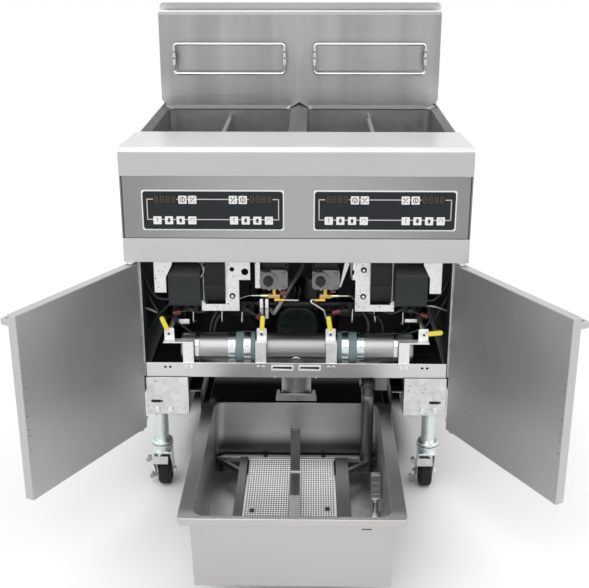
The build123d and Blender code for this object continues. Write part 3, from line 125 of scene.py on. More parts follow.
# studio: white surround, pale floor, broad soft lamps
studio = {
    "floorSize": 14.0,
    "floorSeen": grey(1.0),
    "floorColour": grey(0.9),
    "floorShadowTone": grey(0.007),
    # painted shadow: the floor goes dark under the cabinet, fading in x, at the front and at the back
    "dark": [{"x": (0.34, 0.25), "front": (0.08, 0.34), "back": (1.02, 0.70)},
             {"x": (0.52, 0.31), "front": (0.45, 0.62), "back": (1.02, 0.70)}],
    "skyFill": 0.55,
    "skySeen": 1.0,
    "lampAway": 3,
    "suns": [
        # name, where it stands, strength, softness in degrees
        ("keySun", (-0.45, -0.8, 1.0), 1.25, 60),
        ("sideSun", (0.9, -0.5, 0.75), 0.5, 60),
        ("topSun", (0.1, 0.2, 1.0), 0.6, 70),
    ],
}


def shownAsWhite(tree):
    # camera, mirror and glass rays
    path = addNode(tree, "LightPath", {})
    last = path["Is Camera Ray"]
    for label in ("Is Glossy Ray", "Is Transmission Ray"):
        last = joined(tree, "MAXIMUM", last, path[label])
    return last


def buildWorld():
    world = bpy.data.worlds.new("studioWorld")
    scene.world = world
    world.use_nodes = True
    tree = world.node_tree
    tree.nodes.clear()
    fill, seen = (addNode(tree, "Background", {"Color": (1, 1, 1, 1), "Strength": studio[label]})[0]
        for label in ("skyFill", "skySeen"))
    mix = addNode(tree, "MixShader", {0: shownAsWhite(tree), 1: fill, 2: seen})
    addNode(tree, "OutputWorld", {"Surface": mix[0]})


# painted shadow on the floor under the cabinet
def floorShadowMask(tree):
    split = addNode(tree, "SeparateXYZ", {0: objectSpot(tree)})
    across = addNode(tree, "Math", {0: split["X"]}, operation="ABSOLUTE")[0]
    patches = []
    for patch in studio["dark"]:
        x, front, back = (stepped(tree, value, *patch[label], "SMOOTHSTEP") for label, value in (
            ("x", across), ("front", split["Y"]), ("back", split["Y"])))
        patches.append(joined(tree, "MULTIPLY", joined(tree, "MULTIPLY", x, front), back))
    return joined(tree, "MAXIMUM", *patches)


def buildFloor():
    half = studio["floorSize"] / 2
    mesh = bpy.data.meshes.new("studioFloor")
    corners = [(-half, -half, 0), (half, -half, 0), (half, half, 0), (-half, half, 0)]
    mesh.from_pydata(corners, [], [(0, 1, 2, 3)])
    floor = newObject("studioFloor", mesh)
    mat = bpy.data.materials.new("floorPaper")
    mat.use_nodes = True
    tree = mat.node_tree
    tree.nodes.clear()
    shade = between(tree, floorShadowMask(tree), studio["floorSeen"], studio["floorShadowTone"])
    seen = addNode(tree, "BsdfDiffuse", {"Color": shade})[0]
    paper = addNode(tree, "BsdfDiffuse", {"Color": (*studio["floorColour"], 1)})[0]
    toCamera = addNode(tree, "LightPath", {})["Is Camera Ray"]
    mix = addNode(tree, "MixShader", {0: toCamera, 1: paper, 2: seen})
    addNode(tree, "OutputMaterial", {"Surface": mix[0]})
    mesh.materials.append(mat)


def buildLamps():
    for name, place, strength, softness in studio["suns"]:
        lamp = bpy.data.lights.new(name, "SUN")
        lamp.energy = strength
        lamp.angle = radians(softness)
        obj = newObject(name, lamp)
        obj.location = Vector(place) * studio["lampAway"]
        obj.rotation_euler = (-Vector(place)).to_track_quat("-Z", "Y").to_euler()


buildWorld()
buildFloor()
buildLamps()
scene.view_settings.view_transform = "Standard"
print("studio ready")

# shared effects, each a node group
groups = {}


def newGroup(name, inputs, *outputs):
    # an input with a tuple and an output called Normal are vectors, the others plain values
    group = groups[name] = bpy.data.node_groups.new(name, "ShaderNodeTree")
    for label, value in inputs.items():
        kind = "NodeSocketVector" if isinstance(value, tuple) else "NodeSocketFloat"
        group.interface.new_socket(name=label, in_out="INPUT", socket_type=kind).default_value = value
    for label in outputs:
        kind = "NodeSocketVector" if label == "Normal" else "NodeSocketFloat"
        group.interface.new_socket(name=label, in_out="OUTPUT", socket_type=kind)
    return group, group.nodes.new("NodeGroupInput").outputs, group.nodes.new("NodeGroupOutput")


def addBrush():
    # long thin streaks, as an abrasive belt leaves them, plus slow clouding
    inputs = {"Stretch": (4, 900, 900), "Cloud Scale": 5.0}
    group, given, put = newGroup("brushedGrain", inputs, "Streaks", "Clouds")
    spot = objectSpot(group)
    scaled = addNode(group, "VectorMath", {0: spot, 1: given["Stretch"]}, operation="MULTIPLY")[0]
    feed(group, put, {"Streaks": noise(group, scaled, 1.0, 3.0),
        "Clouds": noise(group, spot, given["Cloud Scale"])})


def addSpeck():
    # fine moulded or cast texture
    group, given, put = newGroup("fineSpeck", {"Scale": 600.0}, "Specks", "Patches")
    spot = objectSpot(group)
    feed(group, put, {"Specks": noise(group, spot, given["Scale"], 4.0), "Patches": noise(group, spot, 14.0)})


def addSpangle():
    # crystal patches of hot dipped zinc
    group, given, put = newGroup("zincSpangle", {"Scale": 90.0}, "Cells", "Mottle")
    spot = objectSpot(group)
    cells = addNode(group, "TexVoronoi", {"Vector": spot, "Scale": given["Scale"]}, feature="F1")
    tone = addNode(group, "RGBToBW", {"Color": cells["Color"]})["Val"]
    feed(group, put, {"Cells": tone, "Mottle": noise(group, spot, 45.0, 3.0)})


def addFade():
    # slow change of tone along a direction, or both ways from a middle
    inputs = {"Direction": up, "Middle": 0.0, "Both Ways": 0.0, "Start": 0.0, "End": 1.0}
    group, given, put = newGroup("slowFade", inputs, "Fade")
    along = addNode(group, "VectorMath", {0: objectSpot(group), 1: given["Direction"]},
        operation="DOT_PRODUCT")["Value"]
    away = joined(group, "SUBTRACT", along, given["Middle"])
    size = addNode(group, "Math", {0: away}, operation="ABSOLUTE")[0]
    pick = addNode(group, "Mix", {"Factor": given["Both Ways"], "A": away, "B": size},
        data_type="FLOAT")["Result"]
    feed(group, put, {"Fade": stepped(group, pick, given["Start"], given["End"], "SMOOTHSTEP")})


def addEdge():
    # painted highlight: a brighter colour on bent and cut edges, and softened normals there
    group, given, put = newGroup("edgeHighlight", {"Width": 0.002}, "Highlight", "Normal")
    soft = addNode(group, "Bevel", {"Radius": given["Width"]}, samples=4)["Normal"]
    flat = addNode(group, "NewGeometry", {})["Normal"]
    near = addNode(group, "VectorMath", {0: soft, 1: flat}, operation="DOT_PRODUCT")["Value"]
    feed(group, put, {"Highlight": stepped(group, near, 0.995, 0.8), "Normal": soft})


for addEffect in (addBrush, addSpeck, addSpangle, addFade, addEdge):
    addEffect()


def place(tree, effect, inputs):
    return addNode(tree, "Group", inputs, node_tree=groups[effect])


# finishes
finish = {}
grainAlong = {"x": (5, 700, 700), "y": (700, 5, 700), "z": (700, 700, 5), "none": (60, 60, 60)}
steelLook = {"streaks": (-0.5, 0.5), "clouds": (0, 1), "reflectionBands": (17, 17, 0.6), "bumpDepth": 0.0004,
             "rough": (-0.08, 0.1), "edgeGlint": (1.5, 0.1, 0.95)}      # painted edge highlight: gain, lift, limit
zincLook = {"cells": (-0.2, 0.35), "mottle": (0, 0.85), "stain": (0.70, 0.76), "stainTone": (0.1, 0.1, 0.1),
    "edgeGlint": (0.9, 0.9, 0.9), "rough": (-0.07, 0.1), "bump": (0.08, 0.0006), "metallic": 0.85}
mouldLook = {"rough": (-0.07, 0.07), "bumpDepth": 0.0006}


def newFinish(name, colour=0.0):
    # a single number as colour is a grey
    mat = finish[name] = bpy.data.materials.new(name)
    mat.use_nodes = True
    colour = colour if isinstance(colour, tuple) else grey(colour)
    return mat.node_tree, mat.node_tree.nodes["Principled BSDF"], colour


def roughened(tree, value, rough, look):
    low, high = look["rough"]
    return ranged(tree, value, rough + low, rough + high)


def fade(level, along, start, end, middle=None, warm=0.0):
    # to another grey, between two places in metres along a direction, or both ways from a middle
    inputs = {"Direction": along, "Start": start, "End": end}
    if middle is not None:
        inputs.update({"Middle": middle, "Both Ways": 1.0})
    return grey(level, warm), inputs


def steel(name, colour, rough=0.34, along="x", contrast=0.06, grain=0.12, metallic=1.0, fades=(), edge=0.0,
          reflectionBands=0.0):
    # reflectionBands: strength of wide upright bands, a painted reflection
    tree, skin, colour = newFinish(name, colour)
    brush = place(tree, "brushedGrain", {"Stretch": grainAlong[along]})
    mixed = joined(tree, "ADD", ranged(tree, brush["Streaks"], *steelLook["streaks"]),
        ranged(tree, brush["Clouds"], *steelLook["clouds"]))
    if reflectionBands:
        wide = place(tree, "brushedGrain", {"Stretch": steelLook["reflectionBands"]})
        mixed = joined(tree, "ADD", mixed, ranged(tree, wide["Streaks"], -reflectionBands, reflectionBands))

    def toned(base):
        return between(tree, mixed, lighter(base, -contrast), lighter(base, contrast))

    tone, normal = toned(colour), None
    for far, inputs in fades:
        tone = between(tree, place(tree, "slowFade", inputs)["Fade"], tone, toned(far))
    # painted highlight: edges lightened
    if edge:
        edgeGlint = place(tree, "edgeHighlight", {})
        gain, lift, limit = steelLook["edgeGlint"]
        bright = tuple(min(limit, c * gain + lift) for c in colour)
        tone = between(tree, ranged(tree, edgeGlint["Highlight"], 0, edge), tone, bright)
        normal = edgeGlint["Normal"]
    feed(tree, skin, {"Base Color": tone, "Roughness": roughened(tree, brush["Streaks"], rough, steelLook),
        "Normal": bumped(tree, brush["Streaks"], grain, steelLook["bumpDepth"], normal),
        "Metallic": metallic})


def spangled(name, dark, light, rough=0.42, scale=90, edge=0.5, specks=None):
    # specks: size and share of small dark stains
    tree, skin, _ = newFinish(name)
    zinc = place(tree, "zincSpangle", {"Scale": scale})
    mixed = joined(tree, "ADD", ranged(tree, zinc["Cells"], *zincLook["cells"]),
        ranged(tree, zinc["Mottle"], *zincLook["mottle"]))
    tone = between(tree, mixed, dark, light)
    if specks:
        size, share = specks
        stain = place(tree, "fineSpeck", {"Scale": size})["Specks"]
        start, end = (limit - share for limit in zincLook["stain"])
        tone = between(tree, stepped(tree, stain, start, end), tone, zincLook["stainTone"])
    # painted highlight: edges lightened towards white
    edgeGlint = place(tree, "edgeHighlight", {})
    tone = between(tree, ranged(tree, edgeGlint["Highlight"], 0, edge), tone, zincLook["edgeGlint"])
    feed(tree, skin, {"Base Color": tone, "Roughness": roughened(tree, zinc["Cells"], rough, zincLook),
        "Normal": bumped(tree, zinc["Mottle"], *zincLook["bump"], edgeGlint["Normal"]),
        "Metallic": zincLook["metallic"]})


def moulded(name, colour, rough=0.5, contrast=0.12, scale=500, bump=0.12, metallic=0.0, coat=0.0, shine=0.5):
    tree, skin, colour = newFinish(name, colour)
    speck = place(tree, "fineSpeck", {"Scale": scale})
    tone = between(tree, speck["Patches"], lighter(colour, -contrast), lighter(colour, contrast))
    feed(tree, skin, {"Base Color": tone, "Roughness": roughened(tree, speck["Patches"], rough, mouldLook),
        "Normal": bumped(tree, speck["Specks"], bump, mouldLook["bumpDepth"]),
        "Metallic": metallic, "Coat Weight": coat, "Specular IOR Level": shine})


# painted shade on the liners: dark beside the hinge's top, light at the free lower corner, and lighter off
# that line
leftLinerShade = [fade(0.69, (-0.638, -1.15, -1.18), -0.3, 0.5),
    fade(0.58, (-1.617, -2.917, 2.70), 0.2, 1.15, 2.48)]
rightLinerShade = [fade(0.62, (0.638, -1.15, -1.18), -0.3, 0.5),
    fade(0.53, (1.617, -2.917, 2.70), 0.2, 1.15, 2.48)]
# painted shade on the drawer's rim: side rims darker than the front rim, the rear rim between
rimShade = [fade(0.34, back, -0.480, -0.452), fade(0.5, back, 0.004, 0.014)]
steel("capSteel", grey(0.53, 0.005), 0.32, "x", 0.05, edge=0.5)
# painted light: the cap's top faces far lighter than its front, darker towards both ends
steel("capTopLit", 0.92, 0.32, "x", 0.05, metallic=0.85, fades=[fade(0.73, right, 0.24, 0.37, 0)], edge=0.5)
# painted shade: the control panel darker towards both ends
steel("panelSteel", grey(0.41, 0.005), 0.36, fades=[fade(0.28, right, 0.06, 0.42, 0, 0.01)], edge=0.4)
steel("stripSteel", grey(0.57, 0.005), 0.36, edge=0.5)
# painted reflection on the flue: wide upright bands, and lighter towards the bottom
steel("flueSteel", grey(0.38, 0.005), 0.32, "x", 0.1, fades=[fade(0.52, down, -1.0, -0.92)], edge=0.4,
    reflectionBands=1.6)
# painted highlight: the top of the flue's hem bright, darker just below
steel("flueLipLit", 0.88, 0.3, "x", 0.04, fades=[fade(0.30, down, -1.1512, -1.1496)])
steel("backSheet", grey(0.51, 0.005), 0.34, "z", fades=[fade(0.74, down, -1.168, -1.153)], edge=0.4)
steel("sideSteel", grey(0.48, 0.01), 0.36, "z", edge=0.4)
steel("linerLeft", 0.36, 0.42, "z", metallic=0.8, fades=leftLinerShade, edge=0.5)
steel("linerRight", 0.36, 0.42, "z", metallic=0.8, fades=rightLinerShade, edge=0.5)
steel("doorSteel", grey(0.56, 0.005), 0.34, "z", edge=0.6)
steel("potInside", 0.47, 0.36, "none", 0.1)
steel("potFlange", 0.26, 0.32, "none", 0.08, edge=0.5)
# painted shade: the joiner's roof darker than the pots' steel, lighter from its rear end
steel("joinerSteel", 0.16, 0.32, "y", 0.08, fades=[fade(0.36, back, 0.594, 0.5955)], edge=0.5)
steel("potBack", 0.29, 0.32, "x", 0.08)
steel("potOutside", 0.05, 0.45, "none")
steel("panFront", grey(0.55, 0.015), 0.34, "x", 0.05, edge=0.4)
steel("panRim", grey(0.60, 0.005), 0.34, "y", 0.16, fades=rimShade, edge=0.5)
steel("panInside", 0.50, 0.36, "none", 0.16, edge=0.3)
# painted shadow: the drawer's rear wall dark along its bottom
steel("panRear", 0.58, 0.34, "x", 0.1, fades=[fade(0.07, down, -0.195, -0.155)])
steel("frameSteel", 0.17, 0.34, "y", 0.2, edge=0.8)
steel("screenSteel", 0.92, 0.34, "y", 0.05, metallic=0.5)
steel("pickupSteel", 0.42, 0.34, "none", 0.1, edge=0.7)
steel("pickupPlate", 0.66, 0.34, "none", 0.1, edge=0.5)
steel("litFrameTops", 0.72, 0.34, "none", 0.12, edge=0.6)
steel("frameInner", 0.10, 0.42, "y", edge=0.2)
steel("tabSteel", 0.22, 0.38, "z", edge=0.5)
steel("tubeSteel", 0.17, 0.36, "z", 0.1)
steel("railSteel", grey(0.70, 0.005), 0.34, "x", 0.08, edge=0.7)
# painted shade: the drawer's slides nearly black
steel("slideSteel", 0.05, 0.4, "y", edge=0.3)
spangled("galvanised", grey(0.6), grey(0.9), 0.42, 70, specks=(140, 0.03))
spangled("blowerZinc", grey(0.76), grey(0.98), 0.42, 130, specks=(170, 0.06))
spangled("whiteZinc", grey(0.86), grey(0.97), 0.45, 130)
steel("pipeSteel", 0.37, 0.36, "x", 0.08)
steel("centrePipe", 0.29, 0.36, "x", 0.08)
steel("spoutSteel", 0.40, 0.36, "none", 0.08, edge=0.6)
steel("darkPipe", 0.03, 0.42, "none")
steel("clampZinc", (0.68, 0.74, 0.75), 0.22, "none", 0.1, edge=0.5)
steel("zincPlate", (0.78, 0.85, 0.85), 0.30, "none", 0.14, edge=0.7)
steel("rodZinc", 0.34, 0.3, "none", 0.1)
steel("darkRod", 0.05, 0.36, "none", 0.1)
steel("clipZinc", 0.13, 0.3, "none", 0.3, edge=0.9)
steel("wireSide", 0.32, 0.2, "none", 0.05)
steel("brakeZinc", 0.40, 0.34, "none", 0.2, edge=0.8)
steel("dividerSteel", 0.46, 0.3, "y", 0.08)
steel("paleBrass", (0.86, 0.76, 0.52), 0.24, "none", 0.1)
steel("brightWire", 0.78, 0.16, "none", 0.03)
steel("paleTube", 0.55, 0.26, "none", 0.06)
moulded("castGrey", (0.24, 0.245, 0.25), 0.42, 0.15, 400, 0.3, 0.5)
steel("brassPlain", (0.72, 0.47, 0.14), 0.28, "none", 0.15, edge=0.4)
moulded("blackPaint", (0.010, 0.011, 0.011), 0.4)
moulded("scrollPaint", (0.018, 0.019, 0.019), 0.5, shine=0.25)
moulded("leadBlack", (0.016, 0.019, 0.02), 0.36, shine=0.6)
moulded("leadGreen", (0.012, 0.045, 0.034), 0.4)
moulded("leadBlue", (0.012, 0.018, 0.04), 0.4)
moulded("leadRed", (0.10, 0.012, 0.018), 0.4)
moulded("leadWhite", 0.8, 0.4)
moulded("slatePaint", (0.027, 0.032, 0.034), 0.45, shine=0.3)
moulded("pumpPaint", (0.018, 0.028, 0.027), 0.36)
# black for dark inner parts, also used as painted shade inside the cabinet and in slots, recesses, holes and
# gaps
moulded("innerDark", (0.012, 0.012, 0.012), 0.6)
moulded("sleeveRubber", (0.17, 0.24, 0.25), 0.5, 0.1)
moulded("padFace", (0.010, 0.014, 0.016), 0.34, 0.2, 900, 0.05, shine=0.3)
moulded("windowFace", (0.008, 0.008, 0.007), 0.25, 0.2, 900, 0.03, shine=0.25)
moulded("segmentOlive", (0.062, 0.054, 0.030), 0.4, 0.2, 900, 0.03)
moulded("blackPlastic", (0.012, 0.012, 0.012), 0.38)
moulded("tread", (0.011, 0.011, 0.011), 0.6, shine=0.3)
moulded("hubGrey", (0.032, 0.032, 0.034), 0.45, shine=0.4)
moulded("yellowGrip", (1.0, 0.80, 0.06), 0.35, 0.1, 300, 0.08, 0.0, 0.3)
moulded("redGrip", (0.115, 0.006, 0.007), 0.36, 0.1, 300, 0.08, 0.0, 0.3)
moulded("mauvePlastic", (0.16, 0.07, 0.085), 0.45)
moulded("whiteKey", 0.84, 0.4, 0.04, 900, 0.03)
moulded("whiteFrame", 0.90, 0.4, 0.04, 900, 0.03)
moulded("printGrey", 0.62, 0.45, 0.06, 900, 0.03)
moulded("printBlack", 0.012, 0.45, 0.1, 900, 0.03)
moulded("glyphGrey", 0.26, 0.45, 0.06, 900, 0.03)
print("finishes:", len(finish))

# finishes on the nodes; a rule gives another finish to faces whose place (mm) and normal lie in its ranges,
# each a low limit, or a low and a high one
axle = {"y": (104, 669), "z": 38}
panMiddle = -230


def measured(at, n):
    return {"x": at.x, "y": at.y, "z": at.z, "side": abs(at.x), "up": n.z, "level": abs(n.z), "front": -n.y,
        "inward": -n.x * at.x, "toPan": -n.x * at.x - n.y * (at.y - panMiddle),
        "fromAxle": hypot(min(abs(at.y - y) for y in axle["y"]), at.z - axle["z"])}


def within(value, limits):
    low, high = limits if isinstance(limits, tuple) else (limits, inf)
    return low < value < high


def coat(nodeName, *finishNames):
    data = nodes[nodeName].data
    data.materials.clear()
    for name in finishNames:
        data.materials.append(finish[name])
    return data


def paint(nodeName, main, *rules):
    names = list(dict.fromkeys([main] + [other for other, _ in rules]))
    data = coat(nodeName, *names)
    for poly in data.polygons:
        values, chosen = measured(poly.center * perMetre, poly.normal), main
        for other, ranges in rules:
            if all(within(values[label], limits) for label, limits in ranges.items()):
                chosen = other
        poly.material_index = names.index(chosen)


def paintBeyond(nodeName, main, far, pivot, start):
    # faces wholly farther from the pivot's x and z than start get the second finish
    data = coat(nodeName, main, far)
    away = [hypot(v.co.x * perMetre - pivot[0], v.co.z * perMetre - pivot[1]) for v in data.vertices]
    for poly in data.polygons:
        poly.material_index = int(min(away[k] for k in poly.vertices) > start)


plainNodes = {
    "panelSteel": "control_panel", "stripSteel": "lower_panel", "backSheet": "flue_back",
    "joinerSteel": "pot_joiner", "linerLeft": "door_liner_left", "linerRight": "door_liner_right",
    "doorSteel": "door_left door_right", "frameSteel": "pan_screen", "railSteel": "hinge_brackets",
    "slideSteel": "pan_rails", "blowerZinc": "blower_brackets", "whiteZinc": "handle_brackets",
    "darkPipe": "drain_lines return_manifold", "clampZinc": "hose_clamps", "brakeZinc": "brake_1 brake_2",
    "zincPlate": "caster_legs caster_fork_1 caster_fork_2 caster_fork_3 caster_fork_4",
    "scrollPaint": "blower_housings", "blackPaint": "gas_manifold", "innerDark": "burners",
    "pumpPaint": "pump_motor", "blackPlastic": "gas_knob_left gas_knob_right cord_gland",
    "sleeveRubber": "drain_couplings",
}
for finishName, members in plainNodes.items():
    for member in members.split():
        paint(member, finishName)

doorCatch = {"z": (359.5, 377.5), "side": (5, 61)}
flange = {"z": 883.2, "up": 0.02}
# one pot steel in four tones by face, as painted shade: flange and rear flange darker than the inside, the
# outsides darkest
potRules = ["potOutside", ("potInside", {"up": -0.05, "y": (261, 653), "side": (21, 372)}),
    ("potFlange", flange), ("potBack", {**flange, "y": 648})]
wireEnds = {"z": (994, 1058)}
clipEnds = {"z": (996, 1044), "level": (-inf, 0.999), "y": 628}
panSpace = {"z": (-inf, 265.9), "side": (-inf, 200.8), "y": (-482, 27.5)}
paintRules = {
    "controllers": ["blackPlastic", ("whiteFrame", {"y": (-3.1, 0.2)}), ("padFace", {"y": (-inf, -3.1)}),
        ("whiteKey", {"y": (-inf, -4.05)})],
    "rail_hardware": ["zincPlate", ("whiteFrame", doorCatch), ("blackPlastic", {**doorCatch, "y": 14})],
    "frypot_left": potRules,
    "frypot_right": potRules,
    # both ends of each hanger's wire
    "basket_hangers": ["brightWire", ("wireSide", {**wireEnds, "side": (35.5, 47.5)}),
        ("wireSide", {**wireEnds, "side": (340.5, 352.5)}),
        ("clipZinc", {**clipEnds, "side": (34.5, 48.5)}),
        ("clipZinc", {**clipEnds, "side": (339.5, 353.5)})],
    "gas_valves": ["castGrey", ("slatePaint", {"z": 600, "y": 83})],
    # painted shade: the motors' upward faces black
    "blower_motors": ["slatePaint", ("blackPaint", {"up": 0.25})],
    "front_rail": ["railSteel", ("tabSteel", {"z": (-inf, 342.5), "y": 20})],
    # painted light: upward faces of the rear bar and of the strap's front part lighter
    "hold_down_frame": ["frameSteel", ("litFrameTops", {"up": 0.9, "y": -9, "z": 135.5}),
        ("litFrameTops", {"side": (-inf, 12), "y": (-inf, -192), "z": 139, "up": 0.5})],
    # painted light on the cap's upward faces
    "front_cap": ["capSteel", ("capTopLit", {"up": 0.85})],
    "flue_front": ["flueSteel", ("flueLipLit", {"up": 0.5, "z": 1140})],
    # painted shade: the side panels' inward faces and the rear panel's front face black
    "cabinet_panels": ["sideSteel", ("innerDark", {"inward": 0, "side": 380}),
        ("innerDark", {"front": 0.5, "y": 700})],
    # painted shade: the frame's inward faces low down darker, its parts high up behind the front black
    "cabinet_frame": ["galvanised", ("frameInner", {"z": (-inf, 345), "y": 14.5, "inward": 0}),
        ("innerDark", {"z": 338, "y": 18})],
    "drain_manifold": ["pipeSteel", ("centrePipe", {"side": (-inf, 122.9)}),
        ("spoutSteel", {"z": (-inf, 362)})],
    # painted shade: the drawer's inside walls and floor darker than its front
    "filter_pan": ["panFront", ("panRim", {"up": 0.8, "z": 265.5}), ("panInside", {**panSpace, "toPan": 0}),
        ("panInside", {**panSpace, "up": 0.5}),
        ("panRear", {**panSpace, "toPan": 0, "front": 0.6, "y": (0, 27.5)})],
    "suction_tube": ["tubeSteel", ("blackPlastic", {"z": 312}),
        ("pickupSteel", {"z": (-inf, 205), "y": (-inf, -160)}),
        ("pickupPlate", {"z": (-inf, 93), "y": (-inf, -160)})],
    # pale nuts between the brass bodies and the tubes
    "pilot_lines": ["brassPlain", ("paleBrass", {"x": (-86.2, -68.2)}), ("paleBrass", {"x": (84.2, 102.2)}),
        ("paleTube", {"x": (-inf, -86.2)}), ("paleTube", {"x": 102.2}),
        ("paleTube", {"x": (-27.9, 43.9)}), ("paleTube", {"z": (-inf, 510)})],
    **{f"wheel_{k}": ["hubGrey", ("tread", {"fromAxle": 27})] for k in (1, 2, 3, 4)},
}
for nodeName, rules in paintRules.items():
    paint(nodeName, *rules)

drainHandle = {"pivots": (-306, -83, 83, 306), "z": 450, "bare": 7.5}
for k, pivot in enumerate(drainHandle["pivots"], 1):
    paintBeyond(f"drain_handle_{k}", "whiteZinc", "yellowGrip", (pivot, drainHandle["z"]),
        drainHandle["bare"])

# pivot and length of each lever
returnHandle = {"levers": ((-255, 47.3), (-119, 48.0), (120, 34.9), (274, 49.0)), "z": 497, "grip": 23.5}
for k, (pivot, reach) in enumerate(returnHandle["levers"], 1):
    paintBeyond(f"return_handle_{k}", "darkRod", "redGrip", (pivot, returnHandle["z"]),
        reach - returnHandle["grip"])
print("materials on", len(nodes), "nodes")

# mesh helpers, all sizes in millimetres


def softBox(bm, low, high, soft=0.0):
    made = bmesh.ops.create_cube(bm, size=1.0)["verts"]
    for v in made:
        v.co = Vector([a + (b - a) * (c + 0.5) for a, b, c in zip(low, high, v.co)])
    if soft:
        edges = list({e for v in made for e in v.link_edges})
        bmesh.ops.bevel(bm, geom=edges, offset=soft, segments=2, profile=0.5, affect="EDGES")


def turned(bm, at, axis, profile, count=24):
    # profile: radius and distance along the axis
    lean = Vector(axis).to_track_quat("Z", "Y")
    rings = []
    for radius, along in profile:
        steps = count if radius > 0 else 1
        rings.append([bm.verts.new(Vector(at) + lean @ Vector((
            radius * cos(2 * pi * k / count), radius * sin(2 * pi * k / count), along)))
            for k in range(steps)])
    for low, high in zip(rings, rings[1:]):
        for k in range(count):
            j = k + 1
            corners = [low[k % len(low)], low[j % len(low)], high[j % len(high)], high[k % len(high)]]
            corners = list(dict.fromkeys(corners))
            if len(corners) > 2:
                bm.faces.new(corners)
    for ring in (rings[0], rings[-1]):
        if len(ring) > 2:
            bm.faces.new(ring)


def frontPlate(bm, outline, front, back):
    # an outline of x and z, made solid between two depths
    near = [bm.verts.new((x, front, z)) for x, z in outline]
    far = [bm.verts.new((x, back, z)) for x, z in outline]
    bm.faces.new(near)
    bm.faces.new(far[::-1])
    for k in range(len(outline)):
        j = (k + 1) % len(outline)
        bm.faces.new((near[k], far[k], far[j], near[j]))


def frontBar(bm, start, end, width, front, back):
    # a flat bar from one x, z point to another
    across = Vector((end[1] - start[1], start[0] - end[0])).normalized() * width / 2
    a, b = Vector(start), Vector(end)
    frontPlate(bm, [tuple(a + across), tuple(b + across), tuple(b - across), tuple(a - across)], front, back)


def frontRing(bm, middle, outer, inner, front, back, start=0, end=360, steps=24):
    for k in range(steps):
        a, b = (radians(start + (end - start) * j / steps) for j in (k, k + 1))
        corners = [(outer, a), (outer, b), (inner, b), (inner, a)]
        outline = [(middle[0] + r * sin(t), middle[1] + r * cos(t)) for r, t in corners]
        frontPlate(bm, outline, front, back)


def seat(name, data, body, finishName):
    data.materials.append(finish[finishName])
    piece = newObject(name, data)
    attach(piece, body)
    return piece


def setPiece(name, bm, finishName, body="cabinet", smoothTo=38):
    bmesh.ops.recalc_face_normals(bm, faces=bm.faces)
    bmesh.ops.scale(bm, vec=[1 / perMetre] * 3, verts=bm.verts)
    mesh = bpy.data.meshes.new(name)
    bm.to_mesh(mesh)
    bm.free()
    for poly in mesh.polygons:
        poly.use_smooth = True
    mesh.set_sharp_from_angle(angle=radians(smoothTo))
    return seat(name, mesh, body, finishName)


def setTube(name, points, radius, finishName, body="cabinet"):
    curve = bpy.data.curves.new(name, "CURVE")
    curve.dimensions = "3D"
    curve.bevel_depth = radius / perMetre
    curve.bevel_resolution = 3
    curve.resolution_u = 6
    curve.use_fill_caps = True
    spline = curve.splines.new("NURBS")
    spline.points.add(len(points) - 1)
    for spot, at in zip(spline.points, points):
        spot.co = (*(c / perMetre for c in at), 1)
    spline.order_u = 3
    spline.use_endpoint_u = True
    return seat(name, curve, body, finishName)


def setTurned(name, slot, finishName, spots, profile, count, axis=towardFront, body="cabinet"):
    bm = bmesh.new()
    for at in spots:
        turned(bm, at, axis, profile, count)
    return setPiece(name, bm, finishName, body)


def setPlates(name, slot, finishName, outlines, depth, body="cabinet"):
    bm = bmesh.new()
    for outline in outlines:
        frontPlate(bm, outline, *depth)
    return setPiece(name, bm, finishName, body)


def setBoxes(name, slot, finishName, boxes, body="cabinet"):
    # each box: low corner, high corner, rounding
    bm = bmesh.new()
    for box in boxes:
        softBox(bm, *box)
    return setPiece(name, bm, finishName, body)


# print on the two keypads: frame line, display windows, unlit digits and key signs
keypad = {
    "middles": (-188.0, 201.5),
    "face": -4.0,
    "raised": {"line": 0.15, "window": 0.3, "digit": 0.4},
    "loop": {"half": 149.0, "top": 790.5, "bottom": 743.3, "width": 2.0, "corner": 1.3},
    "window": {"at": 108.5, "half": (26.8, 9.4), "z": 790.6, "soft": 0.1},
    "digits": {"count": 4, "pitch": 12.8, "size": (6.8, 13.8), "bar": 2.6, "flatShare": 0.8},
    "topKeys": (46.0, 68.2, 789.5),
    "lowKeys": ((47.5, 74.0, 100.5, 126.8), 741.3),
    "signDepth": (-4.62, -4.5),
}
# each sign: bars (start, end, width), rings (middle, two radii, turn, steps)
keySigns = {
    "stroke": ([((0, -3.6), (0, 3.6), 1.7)], [((0, 0), 6.3, 4.6, 0, 360, 24)]),
    "slash": ([((-5.6, -6.2), (5.6, 6.2), 1.7), ((1.6, -4.4), (5.8, -4.4), 1.6)],
        [((-3.6, 3.6), 2.2, 0.9, 0, 360, 10)]),
    "stem": ([((0, -4.5), (0, 4.5), 1.6), ((-2.4, 4.5), (2.4, 4.5), 1.4)], []),
    "openRing": ([], [((0, 0), 5.2, 3.8, -120, 120, 16)]),
}
arrow = [(-2.4, -5.2), (2.4, -5.2), (2.4, 0.2), (4.6, 0.2), (0, 5.4), (-4.6, 0.2), (-2.4, 0.2)]


def drawSign(bm, name, x, z):
    depth, (bars, rings) = keypad["signDepth"], keySigns[name]
    for (a, b), (c, d), width in bars:
        frontBar(bm, (x + a, z + b), (x + c, z + d), width, *depth)
    for (a, b), outer, inner, start, end, steps in rings:
        frontRing(bm, (x + a, z + b), outer, inner, *depth, start, end, steps)


def digitBars(bm, x, z, front, rear):
    digits = keypad["digits"]
    (width, height), bar = digits["size"], digits["bar"]
    ends = (x - width / 2, x + width / 2)
    for row in (-1, 0, 1):
        level = z + row * height / 2
        frontBar(bm, (ends[0], level), (ends[1], level), bar * digits["flatShare"], front, rear)
    for edge in ends:
        for row in sides:
            frontBar(bm, (edge, z), (edge, z + row * height / 2), bar, front, rear)


